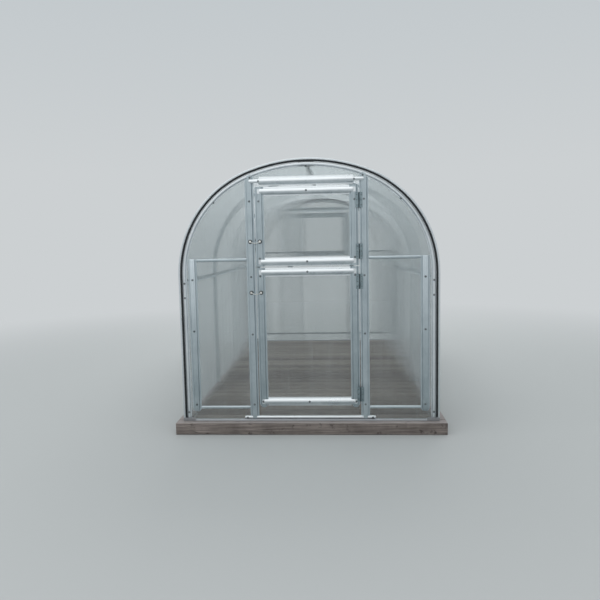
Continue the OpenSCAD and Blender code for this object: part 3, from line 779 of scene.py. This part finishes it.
# a raised bar runs along the front of each rail, and the rail's ends reach over the uprights as flat ears
lapForm = dict(barShort=3 * mm, barSink=0.2 * mm, ear=20 * mm, earThick=1.9 * mm, earNarrow=2 * mm,
               earCorner=7 * mm, earOut=4 * mm,
               barEnds=(dict(length=12 * mm, narrow=0.86, flat=0.8),
                        dict(length=5 * mm, narrow=0.62, flat=0.35)))
neckForm = dict(bodyEnds=dict(length=10 * mm, narrow=0.55, flat=1.0),
                barEnds=dict(length=10 * mm, narrow=0.6, flat=0.3),
                overEnds=dict(length=14 * mm, narrow=0.6, flat=0.4), overShort=6 * mm, overLift=0.6 * mm,
                past=4 * mm)


def gablePost(footLift, footTab):
    # runs from its foot to the ring, its top cut to the ring's slope, with a tab over the ring and, at
    # the front, one over the threshold
    topInset = ringInner + postForm["topGap"]
    low = floorTop + footLift
    length = archHeight(hatX, topInset) - low
    strip = foldStrip(length + postForm["spare"], hat)
    slope = math.asin(hatX / (crownRadius - topInset))
    cut((0, 0, length), (math.sin(slope), 0, math.cos(slope)), clear=True)
    tabEnd(hat, length, postForm["tab"])
    if footTab:
        tabEnd(hat, 0, -postForm["tab"])
    return settle(thicken(strip, hat), (hatX, 0, low))


def lyingAlong(strip, start, z, y=0.0):
    # turns a finished upright strip so that it runs along +X from start at height z
    return settle(strip, (start, y, z), (0, quarter, 0))


def plate(width, height, thick, corner):
    # a flat steel plate in XZ with rounded corners, its back on y = 0
    made = block(Vector((-width / 2, -thick, -height / 2)), Vector((width / 2, 0, height / 2)))
    pick("EDGE", lambda a, b: abs(a.y - b.y) > tiny)
    bevel(corner, 3)
    pick("EDGE", lambda a, b: a.y < tiny - thick and b.y < tiny - thick)
    bevel(0.6 * mm, 2)
    return smooth(made, 20)


def lappedRail(reach, lap, z):
    # hat between the uprights, flat ends lapping on their ridges, and a raised round bar along the front
    body = lyingAlong(profile(2 * reach, railHat), -reach, z)
    half = reach + lap - lapForm["barShort"]
    bar = profile(2 * half, crownBar, *lapForm["barEnds"])
    lyingAlong(bar, -half, z, lapForm["barSink"] - railHat["depth"])
    thick = lapForm["earThick"]
    ear = plate(lap + lapForm["ear"], railHat["ridge"] - lapForm["earNarrow"], thick, lapForm["earCorner"])
    earX = reach + lap / 2 + lapForm["earOut"]
    left = copyOf(ear, (-earX, thick - railHat["depth"], z))
    return [body, bar, left, settle(ear, (earX, thick - railHat["depth"], z))]


def neckedRail(reach, lap, z):
    # the header: its ends are pressed narrow and round where they lap over the posts
    body = profile(2 * reach, railHat, neckForm["bodyEnds"])
    bar = profile(2 * (reach + lap), neckBar, neckForm["barEnds"])
    overHalf = reach - neckForm["overShort"]
    over = profile(2 * overHalf, crownBar, neckForm["overEnds"])
    return [lyingAlong(body, -reach, z),
            lyingAlong(bar, -reach - lap, z, lapForm["barSink"] - railHat["depth"]),
            lyingAlong(over, -overHalf, z, -neckForm["overLift"] - railHat["depth"])]


def thinRail(start, length, z):
    return lyingAlong(profile(length, thinForm, dict(length=14 * mm, narrow=0.9, flat=0.65)), start, z)


low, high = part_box("threshold")
thresholdHeight = high.z - low.z
thresholdEnd = high.x
thresholdZ = (low.z + high.z) / 2
frontPosts = bothSides(gablePost(high.z - floorTop, footTab=True), 1)
gather("frontPosts", frontPosts, "house", "galvanised_steel", zincOf[1]["upright"], "front_posts")
rearPosts = bothSides(gablePost(archForm["footLift"], footTab=False), -1)
gather("rearPosts", rearPosts, "house", "galvanised_steel", zincOf[-1]["upright"], "rear_posts")

footCrimp = dict(length=26 * mm, narrow=0.42, flat=0.55, ends=(0,))
for label, node, facing, crimps in (("lowerLeaf", "lower_leaf", 1, (footCrimp,)),
                                    ("upperLeaf", "upper_leaf", 1, ()),
                                    ("rearVent", "rear_vent", -1, ())):
    body = node if facing > 0 else "house"
    low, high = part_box(node + "_stiles")
    master = settle(profile(high.z - low.z, hat, *crimps), (stileX, 0, low.z))
    gather(label + "Stiles", bothSides(master, facing), body, "galvanised_steel", zincOf[facing]["upright"],
           node + "_stiles")
    low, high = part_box(node + "_rails")
    rails = [part for z in (low.z + railHalf, high.z - railHalf)
             for part in lappedRail(stileX - hatHalf, hatHalf, z)]
    gather(label + "Rails", onGable(rails, facing), body, "bright_galvanised_steel", zincOf[facing]["rail"],
           node + "_rails")

low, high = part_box("front_header")
headerZ = (low.z + high.z) / 2
neckStart = stileX + neckForm["past"]
gather("frontHeader", onGable(neckedRail(neckStart, hatX - neckStart, headerZ), 1), "house",
       "bright_galvanised_steel", zincOf[1]["rail"], "front_header")

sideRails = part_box("front_side_rails")
sideRailZ = (sideRails[0].z + thinHalf, sideRails[1].z - thinHalf)
thinStart = hatX + hatHalf
low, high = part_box("front_jambs")
for side, facing in (("front", 1), ("rear", -1)):
    jamb = profile(high.z - low.z, hat, dict(length=22 * mm, narrow=0.62, flat=0.6, ends=(0,)),
                   dict(length=12 * mm, narrow=0.86, flat=0.7, ends=(1,)))
    gather(side + "Jambs", bothSides(settle(jamb, (jambX, 0, low.z)), facing), "house", "galvanised_steel",
           zincOf[facing]["upright"], side + "_jambs")
    bars = [part for z in sideRailZ
            for part in bothSides(thinRail(thinStart, jambX - hatHalf - thinStart, z), facing)]
    gather(side + "SideRails", bars, "house", "galvanised_steel", zincOf[facing]["level"],
           side + "_side_rails")

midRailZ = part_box("lower_leaf_rails")[1].z - railHalf
doorHalf = hatX - hatHalf
crossRails = neckedRail(neckStart, hatX - neckStart, headerZ) + lappedRail(doorHalf, hatHalf, midRailZ)
crossRails.append(thinRail(-doorHalf, 2 * doorHalf, sideRailZ[0]))
gather("rearCrossRails", onGable(crossRails, -1), "house", "galvanised_steel", zincOf[-1]["level"],
       "rear_cross_rails")

# threshold: a shallow bright bar with pressed, rounded ends that run past the posts
thresholdForm = dict(width=thresholdHeight, ridge=18 * mm, slope=5 * mm, depth=13 * mm, steel=2 * mm,
                     round=5 * mm)
bar = profile(2 * thresholdEnd, thresholdForm, dict(length=16 * mm, narrow=0.72, flat=0.45))
gather("doorThreshold", onGable([lyingAlong(bar, -thresholdEnd, thresholdZ)], 1), "house",
       "bright_galvanised_steel", thresholdLitSteel, "threshold")

# rails on the floor: shallow channels, open side down
low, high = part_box("base_rails_side")
channel = dict(width=62 * mm, ridge=59 * mm, slope=1.5 * mm, depth=high.z - low.z, steel=2 * mm,
               round=2.5 * mm)
channelX = high.x - channel["width"] / 2
rail = settle(profile(high.y - low.y, channel), (channelX, high.y, low.z), (quarter, 0, 0))
gather("baseRailsSide", [rail, copyOf(rail, (-2 * channelX, 0, 0))], "house", "galvanised_steel", longZinc,
       "base_rails_side")

# end rails with a plate at each corner
low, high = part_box("base_rails_end")
endForm = dict(width=34 * mm, ridge=31 * mm, slope=1.5 * mm, depth=12 * mm, steel=2 * mm, round=2.5 * mm,
               front=20 * mm, gap=0.5 * mm)
cornerForm = dict(width=102 * mm, height=27.5 * mm, thick=2 * mm, corner=6 * mm, lift=14 * mm)
endHalf = halfWidth - channel["width"] - endForm["gap"]
ends = []
for facing in (1, -1):
    rail = settle(profile(2 * endHalf, endForm), turn=(0, quarter, 0))
    settle(rail, (-endHalf, endForm["width"] / 2 - endForm["front"], low.z), (-quarter, 0, 0))
    corner = plate(cornerForm["width"], cornerForm["height"], cornerForm["thick"], cornerForm["corner"])
    settle(corner, (halfWidth - cornerForm["width"] / 2, -endForm["front"], low.z + cornerForm["lift"]))
    ends += onGable([rail], facing) + bothSides(corner, facing)
gather("baseRailsEnd", ends, "house", "galvanised_steel", dustyZinc, "base_rails_end")

# purlins: small hats under the arches, one along the crown and one along each side
purlinForm = dict(width=40 * mm, ridge=20 * mm, slope=4 * mm, depth=12 * mm, steel=2 * mm, round=3 * mm)
low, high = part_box("purlins")
purlinZ = low.z + purlinForm["width"] / 2
strip = settle(profile(high.y - low.y, purlinForm), (0, (high.y - low.y) / 2, 0), (quarter, 0, 0))
purlins = [copyOf(strip, (x, 0, z), (0, turn, 0)) for x, z, turn in ((0, high.z, math.pi),
                                                                     (high.x, purlinZ, -quarter),
                                                                     (-high.x, purlinZ, quarter))]
drop(strip)
gather("purlinBars", purlins, "house", "galvanised_steel", purlinZinc, "purlins")


print("flat sheets")

# a sheet reaches under the ring, and past the middle of a post or short of it
sheetForm = dict(arris=0.4 * mm, underRing=16 * mm, meet=1 * mm)


def archedSheet(inset):
    # everything inside the arch line at an inset, as one flat face towards -Y, left in edit mode
    bpy.ops.mesh.primitive_plane_add(size=1 * mm)
    sheet = openMesh(settle(bpy.context.object, (halfWidth - inset, 0, footLine)))
    bpy.ops.mesh.select_mode(type="VERT")
    bpy.ops.mesh.merge(type="CENTER")
    bpy.ops.mesh.extrude_vertices_move(TRANSFORM_OT_translate={"value": (0, 0, legLength)})
    sweepArch(bpy.ops.mesh.extrude_vertices_move)
    bpy.ops.mesh.select_all(action="SELECT")
    bpy.ops.mesh.edge_face_add()
    if sum(f.normal.y for f in bmesh.from_edit_mesh(sheet.data).faces) > 0:
        bpy.ops.mesh.flip_normals()
    return sheet


def trimSheet(*edges):
    # cuts a sheet along each (point, direction), keeping the side that the direction points away from
    sheet = archedSheet(ringInner - sheetForm["underRing"])
    for co, no in edges:
        cut(co, no, clear=True)
    modify(sheet, "SOLIDIFY", thickness=sheetThick, offset=-1)
    modify(sheet, "BEVEL", width=sheetForm["arris"], segments=1, limit_method="ANGLE")
    return sheet


def flatSheet(low, high):
    # a cut rectangle of twin-wall sheet with its arrises just broken
    sheet = block(low, high)
    bevel(sheetForm["arris"], 1)
    return choose(sheet)


sideEdge = hatX + sheetForm["meet"]
topEdge = hatX - sheetForm["meet"]
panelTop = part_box("lower_leaf_sheet")[1].z
for label, node, facing in (("gableSheetsFront", "front_sheets", 1), ("gableSheetsRear", "rear_sheets", -1)):
    sheets = [trimSheet(((sideEdge, 0, 0), (-1, 0, 0))), trimSheet(((-sideEdge, 0, 0), (1, 0, 0)))]
    sheets.append(trimSheet(((topEdge, 0, 0), (1, 0, 0)), ((-topEdge, 0, 0), (-1, 0, 0)),
                            ((0, 0, headerZ), (0, 0, -1))))
    if facing < 0:
        sheets.append(flatSheet(Vector((-topEdge, 0, footLine)), Vector((topEdge, sheetThick, panelTop))))
    gather(label, onGable(sheets, facing), "house", "twin_wall_sheet", gableSheet, node)
for label, node, body in (("lowerLeafSheet", "lower_leaf_sheet", "lower_leaf"),
                          ("upperLeafSheet", "upper_leaf_sheet", "upper_leaf"),
                          ("rearVentSheet", "rear_vent_sheet", "house")):
    gather(label, [flatSheet(*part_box(node))], body, "twin_wall_sheet", gableSheet, node)


print("hinges, latches and screws")


def disc(sides, radius, depth, start=0.0):
    # a round or six-sided blank from y = start towards -Y, left in edit mode with its front face picked
    bpy.ops.mesh.primitive_cylinder_add(vertices=sides, radius=radius, depth=depth)
    piece = openMesh(settle(bpy.context.object, (0, start - depth / 2, 0), (quarter, 0, 0)))
    pick("FACE", lambda p, n: n.y < -0.9)
    return piece


def screwHead(form):
    # hexagon head on its washer, pointing to -Y, seated on y = 0
    washer = disc(14, form["washer"], form["rim"])
    bpy.ops.mesh.inset(thickness=form["washer"] * 0.18)
    move(y=-form["dome"])
    choose(washer)
    head = disc(6, form["head"], form["tall"], -form["rim"])
    bpy.ops.mesh.inset(thickness=form["head"] * 0.2)
    move(y=-0.2 * form["tall"])
    return smooth(join([washer, head]), 30)


screwForm = dict(washer=8.5 * mm, rim=1.4 * mm, dome=0.4 * mm, head=5.2 * mm, tall=3.6 * mm)
# the hinges' screws are nearly flush
hingeScrewForm = dict(screwForm, washer=4.8 * mm, rim=0.5 * mm, head=3.2 * mm, tall=0.2 * mm)
screw = screwHead(screwForm)
hingeScrew = screwHead(hingeScrewForm)

hingeForm = dict(height=120 * mm, width=56 * mm, thick=3 * mm, corner=3 * mm, knuckle=5 * mm, rim=0.7 * mm,
                 play=0.6 * mm, axis=3 * mm, front=15 * mm, strap=8 * mm, strapBack=0.2 * mm, gap=1 * mm,
                 screwX=17 * mm, screwZ=40 * mm)
hingeX = hatX - hatHalf - hingeForm["axis"]
hingeY = -hingeForm["front"] - hingeForm["thick"]
hingeSteel = platedSteel("zincPlatedHingeSteel", dict(dark="#76858a", light="#97a6ab", rough=0.40, pin=hingeX,
                                                      grease=3 * mm))


def knuckle(side, low, high):
    # a rolled barrel round the pin and the strap that joins it to its plate
    bpy.ops.mesh.primitive_cylinder_add(vertices=20, radius=hingeForm["knuckle"], depth=high - low)
    roll = openMesh(settle(bpy.context.object, (0, 0, (low + high) / 2)))
    pick("EDGE", lambda a, b: abs(a.z - b.z) < tiny)
    bevel(hingeForm["rim"], 2)
    smooth(roll, 35)
    reach = side * hingeForm["strap"]
    strap = flatSheet(Vector((min(0, reach), hingeForm["strapBack"], low)),
                      Vector((max(0, reach), hingeForm["thick"], high)))
    return [roll, strap]


def hingeHalf(side):
    # the post's half (1) has the two outer knuckles, the leaf's half (-1) the middle one
    third = hingeForm["height"] / 6
    start = hingeForm["knuckle"] + hingeForm["play"]
    width = hingeForm["width"] / 2 - start
    leaf = plate(width, hingeForm["height"], hingeForm["thick"], hingeForm["corner"])
    parts = [settle(leaf, (side * (start + width / 2), hingeForm["thick"], 0))]
    if side < 0:
        return join(parts + knuckle(side, -third, third))
    parts += knuckle(side, -3 * third, -third - hingeForm["gap"])
    return join(parts + knuckle(side, third + hingeForm["gap"], 3 * third))


postHalf = hingeHalf(1)
leafHalf = hingeHalf(-1)
postParts = []
# the places of the screws, by the leaf's hinge node or by the gable that they go into
hingeSpots = {}
for label, node, body in (("lowerLeafHinges", "lower_leaf_hinges", "lower_leaf"),
                          ("upperLeafHinges", "upper_leaf_hinges", "upper_leaf"),
                          ("rearVentHinges", "rear_vent_hinges", "house")):
    low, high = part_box(node)
    facing = -1 if body == "house" else 1
    leafParts = []
    for z in (low.z + hingeForm["height"] / 2, high.z - hingeForm["height"] / 2):
        leafParts.append(copyOf(leafHalf, (hingeX, hingeY, z)))
        (leafParts if facing < 0 else postParts).append(copyOf(postHalf, (hingeX, hingeY, z)))
        for key, x in ((node, -hingeForm["screwX"]), (facing, hingeForm["screwX"])):
            for lift in (-hingeForm["screwZ"], 0, hingeForm["screwZ"]):
                hingeSpots.setdefault(key, []).append((hingeX + x, -hingeY, z + lift))
    gather(label, onGable(leafParts, facing), body, "hinge_steel", hingeSteel, node)
gather("postHinges", onGable(postParts, 1), "house", "hinge_steel", hingeSteel, "post_hinges")
drop(postHalf, leafHalf)

# wire hooks: an eye round the pivot, an arm that dips on its way to the stud, and the hook over the stud
latch = dict(stud=4 * mm, studReach=11.6 * mm, studCap=10 * mm, studCapReach=3.4 * mm,
             pivot=3 * mm, pivotReach=12 * mm, cap=10 * mm, capReach=3 * mm,
             washer=17 * mm, washerThick=1.6 * mm, wire=3 * mm, eye=6.4 * mm, notch=7.1 * mm, drop=0.7 * mm,
             lead=6 * mm, tip=4 * mm, off=8.5 * mm,
             eyeTurn=270, leadTurn=60, sagTurn=60, hookTurn=200, tipTurn=55)
span = hatX - stileX


def turnedPin(radius, reach, capRadius, capReach):
    # a round pin towards -Y from y = 0 with a rounded cap
    pin = disc(20, radius, reach)
    bpy.ops.mesh.extrude_region_move()
    squeeze((capRadius / radius, 1, capRadius / radius), (0, -reach, 0))
    bpy.ops.mesh.extrude_region_move(TRANSFORM_OT_translate={"value": (0, -capReach, 0)})
    pick("EDGE", lambda a, b: a.y < tiny - reach - capReach and b.y < tiny - reach - capReach)
    bevel(min(capReach, capRadius) * 0.45, 3)
    return smooth(pin, 40)


# a wide dark washer under each latch knob; its ring also serves as the knob's painted shadow
def domedWasher():
    # lies on y = 0, its rim chamfered
    made = disc(24, latch["washer"], latch["washerThick"])
    bpy.ops.mesh.inset(thickness=latch["washerThick"])
    move(y=-latch["washerThick"] / 2)
    return smooth(made, 20)


def wireHook():
    # bent from round bar in XZ, its eye round the pivot at the origin and its hook over the stud at -span;
    # the bar's end loop stays selected from bend to bend
    bpy.ops.mesh.primitive_circle_add(vertices=10, radius=latch["wire"])
    hook = openMesh(settle(bpy.context.object, (0, 0, -latch["eye"]), (0, quarter, 0)))
    spot = Vector((0, 0, -latch["eye"]))
    heading = 0.0

    def bend(turn, radius, steps):
        # turn is positive to the left of the heading, as seen from the front
        nonlocal spot, heading
        side = 1 if turn > 0 else -1
        toCentre = heading + side * quarter
        centre = spot + radius * Vector((math.cos(toCentre), 0, math.sin(toCentre)))
        bpy.ops.mesh.spin(steps=steps, angle=abs(math.radians(turn)), center=centre, axis=(0, side, 0))
        heading += math.radians(turn)
        away = heading - side * quarter
        spot = centre + radius * Vector((math.cos(away), 0, math.sin(away)))

    half = latch["sagTurn"] / 2
    bend(latch["eyeTurn"], latch["eye"], 18)
    bend(-latch["leadTurn"], latch["lead"], 5)
    # the arm's dip and its last bend are as wide as it takes to reach the stud level with the pivot
    lastRadius = (-latch["drop"] - spot.z) / math.sin(math.radians(90 - half))
    lastReach = lastRadius * (1 - math.cos(math.radians(90 - half)))
    armReach = spot.x - (latch["notch"] - span + lastReach)
    bend(-latch["sagTurn"], armReach / 2 / math.sin(math.radians(half)), 8)
    bend(half - 90, lastRadius, 5)
    bend(latch["hookTurn"], latch["notch"], 14)
    bend(-latch["tipTurn"], latch["tip"], 4)
    bpy.ops.mesh.edge_face_add()
    pick("VERT", lambda p: abs(p.x) < tiny and p.z < latch["wire"] * 1.2 - latch["eye"])
    bpy.ops.mesh.edge_face_add()
    bpy.ops.mesh.select_all(action="SELECT")
    bpy.ops.mesh.remove_doubles(threshold=0.01 * mm)
    bpy.ops.mesh.normals_make_consistent(inside=False)
    return smooth(hook, 50)


hook = wireHook()
pivot = turnedPin(latch["pivot"], latch["pivotReach"], latch["cap"], latch["capReach"])
stud = turnedPin(latch["stud"], latch["studReach"], latch["studCap"], latch["studCapReach"])
washer = domedWasher()
studLow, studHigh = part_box("latch_studs")
latchHeights = dict(lower=studLow.z + latch["stud"], upper=studHigh.z - latch["stud"])
ridgeFront = gablePlane[1] - hat["depth"]
for which, z in latchHeights.items():
    gather(which + "Hook", [copyOf(hook, (-stileX, ridgeFront - latch["off"], z))], which + "_latch",
           "latch_steel", latchSteel, which + "_hook")
    for part, master, steel in (("HookPivot", pivot, latchSteel), ("PivotWasher", washer, washerAndShadowSteel)):
        made = copyOf(master, (-stileX, ridgeFront, z))
        gather(which + part, [made], which + "_leaf", "latch_steel", steel)
for name, master, steel, nodes in (("latchStuds", stud, latchSteel, ("latch_studs",)),
                                   ("studWashers", washer, washerAndShadowSteel, ())):
    gather(name, [copyOf(master, (-hatX, ridgeFront, z)) for z in latchHeights.values()], "house",
           "latch_steel", steel, *nodes)
drop(hook, pivot, stud, washer)


def screwsAt(name, spots, body, facing, small):
    # one screw at each (x, depth out from the gable plane, z), and one hinge screw at each small spot
    made = [copyOf(screw, (x, -out, z)) for x, out, z in spots]
    made += [copyOf(hingeScrew, (x, -out, z)) for x, out, z in small]
    gather(name, onGable(made, facing), body, "latch_steel", screwSteel)


barFront = railHat["depth"] + crownBar["depth"] - 0.4 * mm      # the heads bite into the raised bars


def railSpots(end, *heights):
    # a screw at each end and one in the middle of rails at these heights
    return [(x, railHat["depth"] if x else barFront, z) for z in heights for x in (-end, 0, end)]


# where the gables' screws sit, measured from the rails and ends beside them; the lowest are clear of the
# open leaf's own screws
screwGap = dict(foot=38 * mm, underMidRail=36 * mm, underHeader=157 * mm, overPane=30 * mm,
                overPurlin=20 * mm, ringFoot=60 * mm, ringLow=126 * mm, ringHigh=8 * mm, ringRim=2.5 * mm,
                neckIn=2 * mm, neckSink=1.5 * mm, postTopIn=8 * mm, postTopOver=4 * mm, threshold=24 * mm,
                thresholdSink=1 * mm, stileOut=4 * mm)
ringTravels = (0.25, 0.5, 0.75)
lowScrewZ = sideRails[0].z + screwGap["foot"]
paneMiddle = (sideRails[0].z + sideRails[1].z) / 2
postTopZ = archHeight(hatX, ringInner) + screwGap["postTopOver"]
screwRows = ((hatX, hat["depth"], (lowScrewZ, paneMiddle, midRailZ - screwGap["underMidRail"],
                                   headerZ - screwGap["underHeader"])),
             (jambX, hat["depth"], (lowScrewZ, paneMiddle + screwGap["overPane"],
                                    purlinZ + screwGap["overPurlin"])),
             (halfWidth - ringMiddle, ringForm["depth"], (footLine + screwGap["ringFoot"],
                                                          purlinZ - screwGap["ringLow"],
                                                          purlinZ - screwGap["ringHigh"])),
             (neckStart - screwGap["neckIn"], barFront - screwGap["neckSink"], (headerZ,)),
             (hatX - screwGap["postTopIn"], hat["depth"], (postTopZ,)))
gableSpots = [(side * x, out, z) for x, out, heights in screwRows for z in heights for side in (-1, 1)]
for travel in ringTravels:
    x, z, turn = archPoint(travel, ringInner - screwGap["ringRim"])
    gableSpots.append((x, ringForm["steel"], z))
thresholdOut = thresholdForm["depth"] - screwGap["thresholdSink"]
frontSpots = [(side * (thresholdEnd - screwGap["threshold"]), thresholdOut, thresholdZ) for side in (-1, 1)]
screwsAt("gableScrewsFront", gableSpots + frontSpots, "house", 1, hingeSpots[1])
earX = stileX + screwGap["stileOut"]
low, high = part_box("rear_vent_rails")
rearSpots = railSpots(hatX, midRailZ) + railSpots(earX, low.z + railHalf, high.z - railHalf)
screwsAt("gableScrewsRear", gableSpots + rearSpots, "house", -1,
         hingeSpots[-1] + hingeSpots["rear_vent_hinges"])
# the leaves' corner screws sit on the stiles, lifted or lowered clear of the rails' ends
for name, body, lifts in (("lowerLeafScrews", "lower_leaf", (0, -32 * mm)),
                          ("upperLeafScrews", "upper_leaf", (28 * mm, -78 * mm))):
    low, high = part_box(body + "_rails")
    spots = []
    for z, lift in zip((low.z + railHalf, high.z - railHalf), lifts):
        out = hat["depth"] if lift else railHat["depth"]
        spots += [(0, barFront, z), (-earX, out, z + lift), (earX, out, z + lift)]
    screwsAt(name, spots, body, 1, hingeSpots[body + "_hinges"])

# roof screws: through the sheets into each arch, clear of the very top
roofScrewForm = dict(legs=(90 * mm, 450 * mm, 830 * mm), travels=(0.03, 0.14, 0.26, 0.38), aside=20 * mm,
                     fromGable=18 * mm)
sideScrew = copyOf(screw, turn=(0, 0, quarter))
archRows = []
for node in ("arch_second", "arch_third"):
    low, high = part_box(node)
    archRows += [(low.y + high.y) / 2 + side * roofScrewForm["aside"] for side in (-1, 1)]
archRows += [plane + facing * roofScrewForm["fromGable"] for facing, plane in gablePlane.items()]
roofSpots = [(halfWidth, footLine + lift, 0.0) for lift in roofScrewForm["legs"]]
roofSpots += [archPoint(travel, 0) for travel in roofScrewForm["travels"]]
roofScrews = []
for y in archRows:
    for x, z, turn in roofSpots:
        roofScrews.append(copyOf(sideScrew, (x, y, z), (0, -turn, 0)))
        roofScrews.append(copyOf(sideScrew, (-x, y, z), (0, turn - math.pi, 0)))
gather("roofScrews", roofScrews, "house", "latch_steel", screwSteel)
drop(screw, hingeScrew, sideScrew)


print("camera, floor and light")

viewpoint = dict(place=(0.236, -6.683, 1.537), turn=3.676, down=5.402, tilt=-1.12, lens=35.03)
bpy.ops.object.camera_add()
camera = bpy.context.object
camera.data.lens = viewpoint["lens"]
camera.matrix_world = (Matrix.Translation(viewpoint["place"])
                       @ Matrix.Rotation(math.radians(viewpoint["turn"]), 4, "Z")
                       @ Matrix.Rotation(math.radians(90 - viewpoint["down"]), 4, "X")
                       @ Matrix.Rotation(math.radians(viewpoint["tilt"]), 4, "Z"))
bpy.context.scene.camera = camera

studio = dict(horizon="#ccd0d2", upper="#c0c7cb", zenith="#e2e8ec", floor="#b9bbba", floorRadius=60.0,
              fadeFrom=3.0, fadeTo=9.0,
              keyPower=210.0, keySize=12.0, keyPlace=(-2.5, -4.5, 6.5), keyAim=(0, 0, 1),
              backPower=300.0, backSize=7.0, backPlace=(0.6, 5.5, 7.5), backAim=(0, 0.3, 1.2))
# the floor fades into the horizon's tone
floorMaterial, tree, ground = startMaterial("studioFloor")
reach = addNode(tree, "VectorMath", [ground], operation="LENGTH").outputs["Value"]
fade = addNode(tree, "MapRange", [reach, studio["fadeFrom"], studio["fadeTo"]],
               interpolation_type="SMOOTHSTEP")
paint = addNode(tree, "BsdfDiffuse", [colour(studio["floor"])])
haze = addNode(tree, "Emission", [colour(studio["horizon"]), 1.0])
addNode(tree, "OutputMaterial", [addNode(tree, "MixShader", [fade, paint, haze])])
bpy.ops.mesh.primitive_circle_add(vertices=96, radius=studio["floorRadius"], fill_type="NGON")
floor = bpy.context.object
floor.name = "studioFloor"
floor.data.materials.append(floorMaterial)

world = bpy.data.worlds.new("studio")
world.use_nodes = True
bpy.context.scene.world = world
tree = world.node_tree
tree.nodes.clear()
height = addNode(tree, "SeparateXYZ", [addNode(tree, "TexCoord").outputs["Generated"]]).outputs["Z"]
sky = addNode(tree, "ValToRGB", [height], [(0.0, studio["horizon"]), (0.12, studio["horizon"]),
                                           (0.45, studio["upper"]), (0.85, studio["zenith"])])
addNode(tree, "OutputWorld", [addNode(tree, "Background", [sky, 1.0])])

# a wide soft key over the camera's left shoulder, and one behind that makes the roof glow
for lamp in ("key", "back"):
    bpy.ops.object.light_add(type="AREA", location=studio[lamp + "Place"])
    light = bpy.context.object
    light.data.energy = studio[lamp + "Power"]
    light.data.size = studio[lamp + "Size"]
    light.rotation_euler = (Vector(studio[lamp + "Aim"]) - light.location).to_track_quat("-Z", "Y").to_euler()
    light.visible_camera = False

bpy.context.scene.view_settings.view_transform = "Standard"
